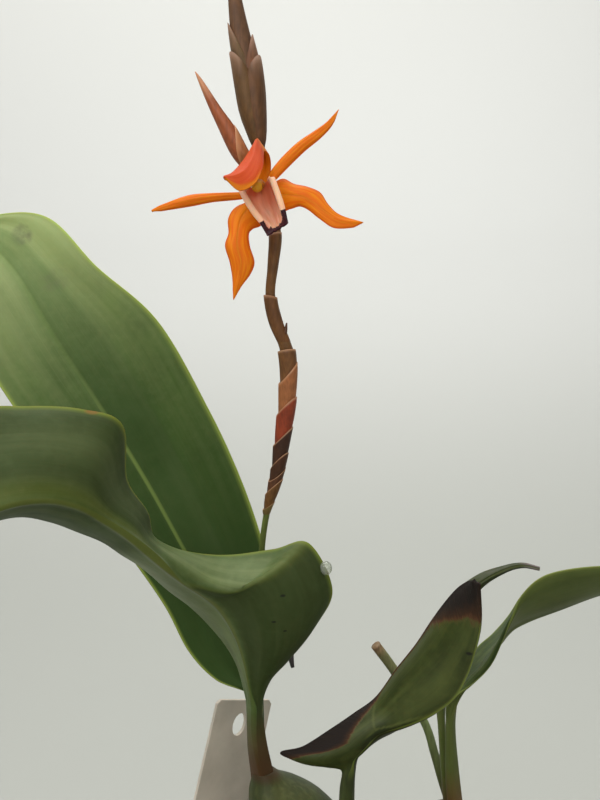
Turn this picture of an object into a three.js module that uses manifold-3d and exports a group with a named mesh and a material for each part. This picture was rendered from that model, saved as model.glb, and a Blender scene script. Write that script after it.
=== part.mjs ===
// A small flowering orchid in a plain nursery pot. Millimetres, +Z up, the flower looks along -Y.
// The origin is the middle of the pot's flat underside.

import * as THREE from "three";
import { mergeVertices } from "three/addons/utils/BufferGeometryUtils.js";
import Module from "manifold-3d";

const wasm = await Module();
wasm.setup();

// Shared sizes
const GAP = 0.3;
const HOLE_GAP = 0.48; // round a faceted piece the hole is wider, so its flats keep the gap too
const WELD = 1e-4;

// Pot
const POT_HEIGHT = 88;
const POT_FOOT_R = 38;
const POT_WAIST_R = 50.5;
const POT_RIM_R = 54;
const POT_RIM_DEEP = 11;
const POT_WALL = 2;
const POT_FLOOR = 3;
const POT_ROUND = 1;
const POT_SIDES = 40;
const DRAIN_COUNT = 8;
const DRAIN_R = 3.6;
const DRAIN_RING_R = 25;
const DRAIN_SIDES = 12;

// Growing medium
const MEDIUM_TOP = 78.5;
const MEDIUM_SWELL = 1.2;
const CHIP_COUNT = 34;
const CHIP_RING_R = 39.5;
const CHIP_TURN = Math.PI * (3 - Math.sqrt(5));
const CHIP_SEED = 7;

// Leaves
const LEAF_THICK = 0.8;
const STALK_THICK = 1.2;
const STALK_FADE = 0.06;
const TEPAL_THICK = 0.6;

// Label
const LABEL_TOP = [-27.35, 20, 136.6];
const LABEL_WIDTH = 15;
const LABEL_THICK = 0.8;
const LABEL_LENGTH = 72;
const LABEL_POINT = 16;
const LABEL_CORNER = 0.8;
const LABEL_TIP = 1.2;
const LABEL_HOLE_DROP = 5.15;
const LABEL_HOLE_SIDE = -0.45;
const LABEL_HOLE_R = 1.7;
const LABEL_HOLE_LONG = 2.4;
const LABEL_HOLE_SIDES = 16;
const LABEL_RUN = [-0.215, -0.192, -0.958];
const LABEL_ACROSS = [0.749, 0.597, -0.287];

const v3 = (p) => new THREE.Vector3(p[0], p[1], p[2]);

// Solids from faces

function geometryOf(points, faces) {
  const flat = [];
  for (const p of points) flat.push(p.x, p.y, p.z);
  const geometry = new THREE.BufferGeometry();
  geometry.setAttribute("position", new THREE.Float32BufferAttribute(flat, 3));
  geometry.setIndex(faces.flat());
  return outward(geometry);
}

// Turns every face round if the solid would be inside out
function outward(geometry) {
  const at = geometry.attributes.position;
  const index = geometry.index.array;
  const a = new THREE.Vector3();
  const b = new THREE.Vector3();
  const c = new THREE.Vector3();
  let volume = 0;
  for (let i = 0; i < index.length; i += 3) {
    a.fromBufferAttribute(at, index[i]);
    b.fromBufferAttribute(at, index[i + 1]);
    c.fromBufferAttribute(at, index[i + 2]);
    volume += a.dot(b.cross(c));
  }
  if (volume < 0) {
    for (let i = 0; i < index.length; i += 3) {
      const keep = index[i];
      index[i] = index[i + 1];
      index[i + 1] = keep;
    }
  }
  return geometry;
}

function solidOf(geometry) {
  const plain = geometry.clone();
  plain.deleteAttribute("normal");
  plain.deleteAttribute("uv");
  const welded = mergeVertices(plain, WELD);
  return new wasm.Manifold(
    new wasm.Mesh({
      numProp: 3,
      vertProperties: new Float32Array(welded.attributes.position.array),
      triVerts: new Uint32Array(welded.index.array),
    })
  );
}

function geometryFrom(solid) {
  const mesh = solid.getMesh();
  const geometry = new THREE.BufferGeometry();
  const flat = new Float32Array(mesh.vertProperties);
  geometry.setAttribute("position", new THREE.BufferAttribute(flat, 3));
  geometry.setIndex(Array.from(mesh.triVerts));
  return geometry;
}

function joined(solids) {
  return solids.reduce((all, one) => all.add(one));
}

// The main body of a solid, without crumbs that a cut has left loose
function mainBody(solid) {
  const parts = solid.decompose();
  return parts.reduce((best, part) => (part.volume() > best.volume() ? part : best));
}

// A closed skin over rings of points, its two ends closed with a flat fan
function loft(rings) {
  const around = rings[0].length;
  const points = rings.flat();
  const faces = [];
  for (let i = 0; i + 1 < rings.length; i += 1) {
    for (let j = 0; j < around; j += 1) {
      const next = (j + 1) % around;
      const a = i * around + j;
      const b = i * around + next;
      const c = (i + 1) * around + j;
      const d = (i + 1) * around + next;
      faces.push([a, b, d], [a, d, c]);
    }
  }
  for (const end of [0, rings.length - 1]) {
    const middle = new THREE.Vector3();
    for (const p of rings[end]) middle.add(p);
    middle.divideScalar(around);
    const hub = points.push(middle) - 1;
    for (let j = 0; j < around; j += 1) {
      const a = end * around + j;
      const b = end * around + ((j + 1) % around);
      faces.push(end === 0 ? [hub, b, a] : [hub, a, b]);
    }
  }
  return geometryOf(points, faces);
}

// Smooth value through rows of numbers, the first number of a row being its place
function along(rows, place) {
  let i = 0;
  while (i < rows.length - 2 && place > rows[i + 1][0]) i += 1;
  const here = rows[i];
  const next = rows[i + 1];
  const before = rows[Math.max(i - 1, 0)];
  const after = rows[Math.min(i + 2, rows.length - 1)];
  const span = next[0] - here[0];
  const t = Math.min(Math.max((place - here[0]) / span, 0), 1);
  return here.map((value, k) => {
    const rise = ((next[k] - before[k]) / (next[0] - before[0])) * span;
    const fall = ((after[k] - value) / (after[0] - here[0])) * span;
    const h1 = 2 * t ** 3 - 3 * t ** 2 + 1;
    const h2 = t ** 3 - 2 * t ** 2 + t;
    const h3 = t ** 3 - t ** 2;
    return h1 * value + h2 * rise + (1 - h1) * next[k] + h3 * fall;
  });
}

// A rod along points, each point [x, y, z, radius]; a steep rod takes its sides from +Y, not +Z
const STEEP = 0.6;

function rod(knots, rows, sides, grow = 0) {
  const line = new THREE.CatmullRomCurve3(knots.map(v3), false, "catmullrom", 0.5);
  const sizes = knots.map((k, i) => [i / (knots.length - 1), k[3]]);
  const whole = v3(knots[knots.length - 1]).sub(v3(knots[0])).normalize();
  const side = Math.abs(whole.z) > STEEP ? new THREE.Vector3(0, 1, 0) : new THREE.Vector3(0, 0, 1);
  const rings = [];
  for (let i = 0; i <= rows; i += 1) {
    const t = i / rows;
    const run = line.getTangent(t);
    const x = new THREE.Vector3().crossVectors(side, run).normalize();
    const y = new THREE.Vector3().crossVectors(run, x);
    const radius = along(sizes, t)[1] + grow;
    const middle = line.getPoint(t);
    if (grow > 0 && (i === 0 || i === rows)) middle.addScaledVector(run, i === 0 ? -grow : grow);
    rings.push(ringAt(middle, x, y, radius, sides));
  }
  return loft(rings);
}

function ringAt(middle, x, y, radius, sides) {
  const ring = [];
  for (let j = 0; j < sides; j += 1) {
    const turn = (2 * Math.PI * j) / sides;
    const p = middle.clone();
    p.addScaledVector(x, radius * Math.cos(turn));
    p.addScaledVector(y, radius * Math.sin(turn));
    ring.push(p);
  }
  return ring;
}

// Blades: leaves, sepals, petals and the lip are thin sheets hung on five rails,
// which are the two margins, the rib and the belly of each half.
// A station is [rib, right margin, left margin, belly of the right half, belly of the left half],
// each belly being how far the middle of that half stands off the straight line.

function rails(stations) {
  const none = [0, 0, 0];
  const midway = (a, b, off) => a.map((value, k) => (value + b[k]) / 2 + off[k]);
  const lines = [
    stations.map((s) => s[2]),
    stations.map((s) => midway(s[0], s[2], s[4] ?? none)),
    stations.map((s) => s[0]),
    stations.map((s) => midway(s[0], s[1], s[3] ?? none)),
    stations.map((s) => s[1]),
  ];
  return lines.map((l) => new THREE.CatmullRomCurve3(l.map(v3), false, "catmullrom", 0.5));
}

function bladeGrid(stations, rows, half) {
  const lines = rails(stations);
  const grid = [];
  for (let i = 0; i <= rows; i += 1) {
    const [left, leftBelly, rib, rightBelly, right] = lines.map((l) => l.getPoint(i / rows));
    const row = [];
    for (let j = -half; j <= half; j += 1) {
      const w = Math.abs(j) / half;
      const belly = j < 0 ? leftBelly : rightBelly;
      const edge = j < 0 ? left : right;
      const p = new THREE.Vector3();
      p.addScaledVector(rib, (1 - w) * (1 - 2 * w));
      p.addScaledVector(belly, 4 * w * (1 - w));
      p.addScaledVector(edge, w * (2 * w - 1));
      row.push(p);
    }
    grid.push(row);
  }
  return grid;
}

function gridNormal(grid, i, j) {
  const up = grid[Math.min(i + 1, grid.length - 1)][j];
  const down = grid[Math.max(i - 1, 0)][j];
  const right = grid[i][Math.min(j + 1, grid[i].length - 1)];
  const left = grid[i][Math.max(j - 1, 0)];
  const run = new THREE.Vector3().subVectors(up, down);
  const across = new THREE.Vector3().subVectors(right, left);
  return run.cross(across).normalize();
}

// Both faces of the sheet are split alike, so a waved blade keeps its thickness
function sheet(grid, thickAt) {
  const rows = grid.length;
  const columns = grid[0].length;
  const points = [];
  for (const side of [1, -1]) {
    for (let i = 0; i < rows; i += 1) {
      for (let j = 0; j < columns; j += 1) {
        const off = (side * thickAt(i / (rows - 1), Math.abs((2 * j) / (columns - 1) - 1))) / 2;
        points.push(grid[i][j].clone().addScaledVector(gridNormal(grid, i, j), off));
      }
    }
  }
  const top = (i, j) => i * columns + j;
  const base = (i, j) => rows * columns + i * columns + j;
  const faces = [];
  for (let i = 0; i + 1 < rows; i += 1) {
    for (let j = 0; j + 1 < columns; j += 1) {
      faces.push([top(i, j), top(i, j + 1), top(i + 1, j + 1)]);
      faces.push([top(i, j), top(i + 1, j + 1), top(i + 1, j)]);
      faces.push([base(i, j), base(i + 1, j + 1), base(i, j + 1)]);
      faces.push([base(i, j), base(i + 1, j), base(i + 1, j + 1)]);
    }
  }
  const wall = (a, b) => {
    faces.push([top(...a), base(...b), top(...b)]);
    faces.push([top(...a), base(...a), base(...b)]);
  };
  for (let i = 0; i + 1 < rows; i += 1) {
    wall([i + 1, 0], [i, 0]);
    wall([i, columns - 1], [i + 1, columns - 1]);
  }
  for (let j = 0; j + 1 < columns; j += 1) {
    wall([0, j], [0, j + 1]);
    wall([rows - 1, j + 1], [rows - 1, j]);
  }
  return geometryOf(points, faces);
}

// A leaf: stout in the stalk, thin in the blade, with a rib that is a little thicker
function leaf({ stations, rows, half, stalkEnd, rib }) {
  return sheet(bladeGrid(stations, rows, half), (t, w) => {
    const stalk = THREE.MathUtils.smoothstep(stalkEnd - t, -STALK_FADE, STALK_FADE);
    const ridge = rib * Math.max(0, 1 - 4 * w) * (1 - t);
    return LEAF_THICK + (STALK_THICK - LEAF_THICK) * stalk + ridge;
  });
}

function tepal({ stations, rows, half }) {
  return sheet(bladeGrid(stations, rows, half), () => TEPAL_THICK);
}

// Tall leaf behind, upper side to the front
const BACK_LEAF = [
  [[-23.2, 3.4, 132.1], [-21.9, 4.0, 132.1], [-24.6, 4.0, 132.1]],
  [[-23.3, 3.8, 138.0], [-22.2, 4.4, 138.0], [-24.6, 4.4, 138.0]],
  [[-23.6, 4.6, 144.0], [-22.4, 5.0, 144.5], [-25.2, 5.2, 144.5]],
  [[-25.4, 6.2, 148.8], [-21.6, 5.2, 152.0], [-32.1, 6.0, 147.4], [0, 1.0, 0], [0, 1.0, 0]],
  [[-28.0, 8.2, 153.0], [-20.9, 6.2, 158.6], [-37.8, 7.2, 152.7], [0, 1.4, 0], [0, 1.4, 0]],
  [[-32.2, 10.8, 159.4], [-20.8, 7.8, 166.0], [-43.0, 8.8, 161.4], [0, 1.6, 0], [0, 1.6, 0]],
  [[-40.0, 14.0, 171.7], [-22.7, 11.0, 173.4], [-50.8, 11.0, 171.2], [0, 1.8, 0], [0, 1.6, 0]],
  [[-49.0, 17.0, 186.2], [-27.7, 14.0, 186.8], [-60.6, 12.8, 183.0], [0, 1.8, 0], [0, 1.6, 0]],
  [[-58.8, 19.0, 201.1], [-35.1, 17.0, 201.9], [-71.6, 14.0, 195.6], [0, 1.5, 0], [0, 1.4, 0]],
  [[-70.2, 21.0, 217.4], [-46.9, 19.4, 221.7], [-79.8, 15.4, 206.2], [0, 1.5, 0], [0, 1.2, 0]],
  [[-80.4, 23.0, 233.2], [-61.3, 21.6, 234.4], [-87.2, 17.0, 217.0], [0, 1.2, 0], [0, 1.2, 0]],
  [[-87.3, 23.2, 240.2], [-72.8, 22.4, 245.8], [-92.4, 18.8, 226.4], [0, 0.8, 0], [0, 0.8, 0]],
  [[-93.4, 23.2, 242.5], [-86.0, 22.8, 246.3], [-95.6, 20.8, 235.6], [0, 0.4, 0], [0, 0.4, 0]],
  [[-98.8, 22.4, 241.0], [-98.3, 22.4, 241.8], [-99.2, 22.2, 240.3]],
];

// Arched leaf in front, folded along its keel and seen from beneath
const FRONT_LEAF = [
  [[-22.6, -1.7, 132.1], [-20.2, -0.6, 132.1], [-24.8, -0.6, 132.1]],
  [[-23.6, -2.0, 140.3], [-21.7, -1.0, 140.3], [-25.0, -0.9, 140.2]],
  [[-23.7, -3.0, 146.6], [-22.2, -1.7, 146.3], [-25.1, -1.4, 146.1]],
  [[-24.1, -4.0, 150.7], [-20.5, -2.5, 151.7], [-25.6, -1.4, 148.8], [0.3, -0.8, -0.3], [0, 0, -0.2]],
  [[-24.7, -6.0, 155.6], [-16.7, -4.0, 156.5], [-26.8, -1.0, 153.4], [0.6, -1.8, -0.8], [-0.3, 0, -0.5]],
  [[-25.8, -8.0, 160.8], [-11.8, -6.0, 163.3], [-29.2, -0.5, 157.4], [1, -3.4, -1], [-0.4, 0, -0.8]],
  [[-27.6, -10.0, 165.5], [-9.3, -8.2, 170.2], [-32.9, 0.0, 161.4], [0.8, -4.4, 0.4], [-0.4, -0.2, -0.8]],
  [[-29.4, -12.0, 168.8], [-13.5, -8.2, 178.2], [-36.5, -0.5, 165.2], [1.2, -4.8, 0.4], [-0.5, -0.4, -0.9]],
  [[-31.5, -14.0, 171.3], [-19.6, -7.2, 176.9], [-40.4, -2.0, 168.8], [1.6, -4.2, -1.2], [-0.5, -0.6, -0.8]],
  [[-33.9, -17.0, 174.0], [-28.0, -8.0, 176.0], [-43.0, -5.0, 172.6], [1.2, -2.4, -1], [-0.5, -0.6, -0.6]],
  [[-36.2, -20.0, 177.0], [-34.8, -10.4, 177.2], [-44.8, -8.0, 175.4], [0.6, -1.6, 0.4], [-0.4, -0.6, -0.6]],
  [[-38.7, -23.0, 180.4], [-39.8, -13.2, 180.0], [-46.6, -10.4, 177.4], [0.1, -1.2, 1.0], [-0.4, -0.6, -0.6]],
  [[-41.0, -26.0, 183.6], [-40.2, -17.4, 185.5], [-49.0, -13.4, 180.3], [0, -1.2, 0.8], [-0.4, -0.8, -0.6]],
  [[-43.4, -29.0, 186.4], [-42.3, -22.0, 191.4], [-52.0, -16.4, 182.5], [-0.2, -1.4, 0.3], [-0.4, -1, -0.6]],
  [[-46.1, -32.0, 189.0], [-41.9, -26.0, 200.2], [-55.4, -19.4, 184.7], [-0.4, -1.8, 0], [-0.4, -1.2, -0.6]],
  [[-49.4, -35.0, 190.4], [-47.0, -28.0, 202.5], [-59.0, -22.4, 186.1], [-0.5, -2.2, 0], [-0.4, -1.2, -0.6]],
  [[-53.5, -38.0, 190.2], [-54.4, -30.0, 203.0], [-62.6, -25.4, 185.5], [-0.5, -2.2, 0], [-0.4, -1.2, -0.6]],
  [[-58.2, -41.0, 188.0], [-61.4, -32.4, 202.0], [-66.6, -29.4, 183.4], [-0.5, -1.8, 0], [-0.4, -1, -0.6]],
  [[-63.5, -43.4, 183.6], [-67.4, -36.6, 193.6], [-69.4, -35.4, 178.8], [-0.4, -1, 0], [-0.3, -0.6, -0.4]],
  [[-68.6, -45.0, 176.6], [-68.9, -44.6, 177.2], [-68.8, -44.6, 176.0]],
];

// Smaller leaf at the right, scorched along its margin, also seen from beneath
const BURNT_LEAF = [
  [[-7.2, -16.9, 128.3], [-8.9, -15.9, 128.3], [-6.0, -15.9, 128.3]],
  [[-7.0, -16.9, 138.6], [-8.3, -16.0, 138.6], [-6.1, -16.0, 138.6]],
  [[-6.6, -17.0, 142.6], [-8.2, -16.1, 142.5], [-5.9, -15.9, 143.0]],
  [[-6.1, -17.2, 144.6], [-12.3, -16.3, 143.5], [-5.2, -15.5, 144.8], [0, -0.6, -0.2]],
  [[-4.9, -17.4, 146.1], [-16.1, -17.0, 144.6], [-4.0, -14.2, 145.4], [0, -1.3, -0.5], [0.1, 0, -0.2]],
  [[-3.8, -17.5, 147.3], [-18.2, -17.5, 146.0], [-2.4, -12.4, 145.6], [0, -1.7, -0.6], [0.1, 0, -0.3]],
  [[-2.9, -17.5, 148.4], [-14.6, -17.4, 146.8], [-0.4, -10.6, 145.6], [0, -1.7, -0.4], [0.1, 0, -0.4]],
  [[-1.9, -17.7, 149.3], [-10.1, -16.2, 148.9], [1.8, -8.8, 145.6], [0, -1.6, 0], [0.1, -0.2, -0.4]],
  [[-0.6, -18.3, 150.1], [-6.0, -15.0, 151.0], [3.8, -7.4, 146.0], [0, -1.4, 0.3], [0, -0.3, -0.4]],
  [[0.9, -19.1, 150.9], [-2.0, -14.0, 153.4], [5.6, -6.6, 146.8], [-0.2, -1.5, 0.4], [-0.1, -0.4, -0.4]],
  [[3.2, -20.1, 152.2], [1.5, -14.0, 158.2], [7.4, -6.4, 148.4], [-0.5, -1.9, 0.5], [-0.2, -0.4, -0.3]],
  [[6.1, -21.1, 154.1], [4.6, -14.8, 162.6], [9.2, -7.2, 151.2], [-0.7, -2.2, 0.7], [-0.2, -0.4, -0.2]],
  [[9.2, -22.1, 157.1], [7.2, -15.8, 167.2], [10.8, -9.0, 155.0], [-0.7, -2.2, 0.7], [-0.2, -0.4, 0]],
  [[11.0, -23.1, 161.2], [9.2, -17.2, 170.8], [12.2, -11.4, 159.8], [-0.5, -1.9, 0.5], [-0.2, -0.4, 0]],
  [[12.1, -23.8, 165.5], [10.7, -18.8, 173.4], [13.0, -14.6, 165.2], [-0.3, -1.3, 0.3], [-0.1, -0.3, 0]],
  [[12.8, -24.0, 169.8], [11.8, -20.6, 175.0], [13.2, -18.6, 170.6], [-0.2, -0.7, 0.2], [-0.1, -0.2, 0]],
  [[12.6, -23.6, 175.6], [11.9, -23.2, 176.0], [12.8, -23.0, 175.6]],
];

// Leaf that leans out to the right, its trough open to the front
const RIGHT_LEAF = [
  [[20.0, 18.8, 109.6], [21.9, 19.8, 109.6], [18.6, 19.8, 109.6]],
  [[19.0, 19.0, 120.0], [20.7, 20.0, 120.0], [17.8, 20.0, 120.0]],
  [[18.6, 19.0, 131.0], [19.8, 20.2, 131.0], [17.8, 19.7, 131.4]],
  [[19.3, 18.2, 136.6], [20.7, 21.2, 137.8], [17.8, 17.6, 137.1], [0.2, 0, -0.3], [0, 0, 0]],
  [[21.9, 18.0, 141.0], [22.8, 24.0, 142.0], [22.8, 15.8, 142.1], [0.3, 0, -0.5], [-0.1, 0, 0.2]],
  [[25.0, 17.0, 145.0], [27.0, 27.0, 145.6], [26.0, 13.6, 147.0], [0.4, 0, -0.8], [-0.3, -0.4, 0.5]],
  [[27.8, 16.0, 150.0], [30.9, 28.0, 148.4], [27.7, 11.0, 153.3], [0.6, 0, -1.0], [-0.4, -0.8, 0.5]],
  [[30.1, 15.0, 153.9], [34.7, 28.2, 152.6], [28.6, 8.2, 159.0], [0.6, 0, -1.2], [-0.4, -1, 0.5]],
  [[34.1, 14.0, 156.7], [38.3, 28.0, 158.0], [30.2, 6.0, 164.8], [0.6, 0, -1.4], [-0.2, -1.2, 0]],
  [[40.6, 13.0, 159.6], [43.8, 26.8, 162.0], [34.6, 4.2, 169.2], [0.4, 0, -1.4], [0.2, -1.2, -1]],
  [[48.9, 12.4, 162.9], [52.6, 24.4, 163.6], [44.2, 3.4, 171.0], [0.2, 0, -1.2], [0, -1, -1]],
  [[57.4, 12.0, 164.6], [60.8, 20.4, 164.6], [54.8, 6.0, 169.6], [0, 0, -0.8], [0, -0.6, -0.6]],
  [[68.2, 12.0, 163.0], [68.4, 12.8, 163.0], [68.2, 11.4, 163.4]],
];

// Slim leaf that shows little more than its withered point
const SLIM_LEAF = [
  [[19.2, 22.5, 109.6], [18.2, 23.2, 109.6], [20.2, 23.2, 109.6]],
  [[18.2, 22.6, 120.0], [17.4, 23.3, 120.0], [19.0, 23.3, 120.0]],
  [[17.4, 22.5, 131.0], [16.7, 23.3, 131.0], [18.2, 23.3, 131.0]],
  [[17.3, 21.8, 140.6], [15.1, 23.2, 140.6], [19.3, 23.2, 140.4], [0, -0.3, 0], [0, -0.3, 0]],
  [[18.0, 20.6, 150.0], [14.8, 23.0, 150.0], [21.4, 23.0, 149.4], [0, -0.5, 0], [0, -0.5, 0]],
  [[20.7, 19.4, 158.2], [18.8, 21.2, 159.0], [23.2, 21.4, 156.8], [0, -0.5, 0], [0, -0.5, 0]],
  [[25.0, 18.2, 163.4], [24.4, 19.6, 164.5], [25.9, 19.6, 162.2], [0, -0.3, 0], [0, -0.3, 0]],
  [[29.8, 17.2, 166.4], [29.6, 18.0, 167.1], [30.3, 18.0, 165.8]],
  [[33.7, 16.4, 167.7], [33.7, 16.9, 168.1], [33.9, 16.9, 167.3]],
  [[37.2, 15.4, 167.3], [37.2, 15.6, 167.6], [37.2, 15.6, 167.0]],
];

// How far up each leaf its stalk ends, how thick its rib stands, and how finely it is divided
const LEAVES = {
  leaf_back: { stations: BACK_LEAF, rows: 26, half: 3, stalkEnd: 0.16, rib: 0.4, finish: "upperLeaf" },
  leaf_front: { stations: FRONT_LEAF, rows: 38, half: 4, stalkEnd: 0.13, rib: 0.4, finish: "foldedLeaf" },
  leaf_burnt: { stations: BURNT_LEAF, rows: 32, half: 3, stalkEnd: 0.13, rib: 0.3, finish: "burntLeaf" },
  leaf_right: { stations: RIGHT_LEAF, rows: 24, half: 3, stalkEnd: 0.2, rib: 0.4, finish: "darkLeaf" },
  leaf_slim: { stations: SLIM_LEAF, rows: 18, half: 2, stalkEnd: 0.22, rib: 0, finish: "darkLeaf" },
};

// Flower

const DORSAL_SEPAL = [
  [[-21.0, -18.0, 239.6], [-20.0, -18.3, 239.6], [-22.0, -18.3, 239.6]],
  [[-20.8, -17.4, 241.6], [-19.8, -18.6, 241.8], [-22.3, -18.4, 241.4]],
  [[-20.9, -17.8, 244.2], [-20.0, -19.8, 243.4], [-22.3, -19.4, 243.2]],
  [[-21.2, -19.8, 246.0], [-20.6, -21.0, 243.8], [-22.3, -20.6, 244.2]],
  [[-21.7, -22.6, 244.3], [-20.7, -23.4, 241.8], [-22.7, -22.0, 243.5]],
  [[-22.2, -24.8, 241.1], [-20.7, -25.4, 239.3], [-23.7, -23.6, 241.2]],
  [[-23.1, -26.3, 238.7], [-21.7, -27.0, 236.4], [-24.8, -25.2, 239.1]],
  [[-24.5, -27.3, 237.4], [-24.0, -27.6, 235.1], [-25.5, -26.6, 237.9]],
  [[-26.3, -27.6, 237.0], [-26.1, -27.7, 236.8], [-26.4, -27.5, 237.2]],
];

const LEFT_PETAL = [
  [[-22.7, -20.2, 237.2], [-22.7, -20.0, 237.7], [-22.7, -20.0, 236.7]],
  [[-24.6, -20.2, 236.9], [-24.6, -19.8, 237.4], [-24.6, -19.8, 236.3]],
  [[-29.1, -20.6, 236.5], [-29.1, -20.0, 237.2], [-29.0, -20.0, 235.8]],
  [[-32.5, -21.2, 235.8], [-32.8, -20.5, 236.7], [-32.2, -20.5, 235.0]],
  [[-36.0, -21.6, 234.7], [-36.3, -21.2, 235.2], [-35.6, -21.2, 234.2]],
  [[-38.4, -21.8, 233.8], [-38.5, -21.7, 234.0], [-38.3, -21.7, 233.6]],
];

const RIGHT_PETAL = [
  [[-19.9, -20.6, 239.2], [-19.4, -20.5, 238.7], [-20.2, -20.5, 239.6]],
  [[-19.0, -21.0, 240.2], [-18.4, -20.8, 239.5], [-19.5, -20.8, 240.7]],
  [[-17.1, -21.3, 242.2], [-16.4, -20.9, 241.5], [-17.7, -20.9, 242.8]],
  [[-14.8, -21.5, 244.3], [-14.2, -21.0, 243.6], [-15.3, -21.0, 245.0]],
  [[-12.3, -21.7, 246.0], [-11.8, -21.4, 245.4], [-12.7, -21.4, 246.6]],
  [[-10.3, -22.0, 247.6], [-10.0, -21.8, 247.2], [-10.7, -21.8, 247.9]],
  [[-8.9, -22.0, 249.7], [-8.8, -22.0, 249.6], [-9.0, -22.0, 249.8]],
];

const RIGHT_SEPAL = [
  [[-19.5, -19.2, 237.7], [-19.4, -19.0, 239.2], [-19.5, -19.1, 236.8]],
  [[-17.7, -19.6, 237.1], [-17.7, -19.2, 239.8], [-18.1, -19.2, 234.6], [0, -0.3, 0], [0, -0.3, 0]],
  [[-16.1, -20.4, 236.7], [-16.0, -19.4, 238.9], [-16.5, -20.0, 234.7], [0, -0.4, 0], [0, -0.3, 0]],
  [[-14.5, -21.0, 236.2], [-13.8, -20.6, 238.0], [-15.0, -20.4, 235.0], [0, -0.3, 0], [0, -0.3, 0]],
  [[-12.8, -21.4, 235.1], [-11.8, -20.6, 237.1], [-13.6, -21.0, 234.2], [0, -0.3, 0], [0, -0.2, 0]],
  [[-11.0, -21.8, 233.6], [-10.6, -21.2, 235.1], [-12.1, -21.6, 232.8], [0, -0.2, 0], [0, -0.2, 0]],
  [[-9.1, -22.0, 232.4], [-9.1, -21.6, 233.5], [-9.8, -22.2, 231.1]],
  [[-6.9, -21.6, 232.1], [-6.9, -21.3, 232.7], [-6.9, -21.7, 231.2]],
  [[-5.0, -21.0, 232.2], [-4.9, -21.0, 232.5], [-4.9, -21.0, 231.9]],
];

const LEFT_SEPAL = [
  [[-22.2, -19.2, 236.2], [-21.6, -19.1, 235.9], [-22.9, -19.0, 236.3]],
  [[-23.7, -19.8, 234.4], [-21.1, -19.8, 232.4], [-25.4, -19.4, 235.1], [0, -0.3, 0], [0, -0.3, 0]],
  [[-24.6, -20.4, 232.5], [-22.6, -20.2, 231.4], [-26.5, -20.0, 233.1], [0, -0.3, 0], [0, -0.3, 0]],
  [[-24.9, -21.0, 230.2], [-23.2, -20.6, 230.4], [-26.4, -20.4, 230.7], [0, -0.3, 0], [0, -0.3, 0]],
  [[-24.9, -21.4, 228.2], [-23.0, -20.8, 228.4], [-26.9, -20.8, 228.6], [0, -0.3, 0], [0, -0.3, 0]],
  [[-24.3, -21.4, 226.0], [-22.3, -20.8, 226.0], [-26.2, -20.8, 226.1], [0, -0.3, 0], [0, -0.3, 0]],
  [[-24.5, -21.2, 224.1], [-22.9, -20.8, 224.1], [-25.8, -20.6, 223.9], [0, -0.2, 0], [0, -0.2, 0]],
  [[-25.1, -21.0, 222.0], [-24.4, -20.8, 222.0], [-25.7, -20.8, 222.0]],
  [[-25.6, -20.6, 220.0], [-25.3, -20.6, 220.0], [-25.9, -20.6, 220.0]],
];

// The lip is a trough whose side lobes stand towards the front
const LIP = [
  [[-21.0, -20.9, 236.3], [-20.3, -22.2, 237.8], [-21.9, -21.5, 236.4]],
  [[-20.9, -20.7, 235.4], [-19.3, -23.6, 238.3], [-24.1, -23.4, 236.6], [0.6, 0.6, 0], [-0.6, 0.6, 0]],
  [[-20.1, -21.0, 233.8], [-18.2, -24.5, 235.0], [-22.3, -24.5, 233.3], [0.7, 0.6, 0], [-0.7, 0.6, 0]],
  [[-19.3, -22.0, 232.1], [-17.6, -24.7, 233.1], [-21.0, -24.7, 231.5], [0.5, 0.5, 0], [-0.5, 0.5, 0]],
  [[-18.7, -23.3, 230.8], [-17.1, -24.9, 231.8], [-20.3, -24.9, 229.9], [0.2, 0.3, 0], [-0.2, 0.3, 0]],
  [[-18.4, -24.4, 230.1], [-16.8, -25.2, 231.0], [-20.0, -25.2, 229.0]],
];

const TEPALS = {
  dorsal_sepal: { stations: DORSAL_SEPAL, rows: 14, half: 2, finish: "hood" },
  petal_left: { stations: LEFT_PETAL, rows: 10, half: 1, finish: "tepal" },
  petal_right: { stations: RIGHT_PETAL, rows: 10, half: 1, finish: "tepal" },
  lateral_sepal_left: { stations: LEFT_SEPAL, rows: 14, half: 2, finish: "tepal" },
  lateral_sepal_right: { stations: RIGHT_SEPAL, rows: 14, half: 2, finish: "tepal" },
  lip: { stations: LIP, rows: 10, half: 3, finish: "lip" },
};

const COLUMN_KNOTS = [
  [-21.1, -19.4, 238.0, 0.85],
  [-21.2, -20.6, 238.3, 0.7],
  [-21.4, -21.8, 238.0, 0.85],
  [-21.6, -22.6, 237.5, 1.1],
  [-21.7, -23.4, 237.0, 1.1],
  [-21.7, -23.9, 236.7, 0.5],
];

const PEDICEL_KNOTS = [
  [-20.4, -15.45, 237.6, 0.7],
  [-20.7, -16.4, 237.8, 0.75],
  [-21.0, -17.8, 237.9, 0.85],
  [-21.1, -19.0, 238.0, 0.9],
];

// Flower stem, each row [height, x, y, radius]
const STEM = [
  [132.1, -22.7, 1.3, 0.6],
  [150.0, -22.8, 0.7, 0.6],
  [164.0, -22.7, -0.6, 0.58],
  [176.0, -22.2, -2.0, 0.58],
  [183.0, -21.2, -3.0, 0.62],
  [187.0, -20.1, -3.9, 0.86],
  [191.0, -19.1, -4.7, 1.0],
  [197.0, -18.2, -6.2, 1.15],
  [204.0, -17.3, -8.2, 1.25],
  [212.4, -17.3, -10.4, 1.2],
  [217.5, -19.2, -11.8, 1.08],
  [222.0, -20.1, -13.0, 0.84],
  [227.0, -19.6, -13.9, 0.92],
  [232.0, -19.2, -14.4, 1.0],
  [238.8, -20.1, -14.2, 0.9],
  [246.0, -21.9, -14.9, 0.9],
];

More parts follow.
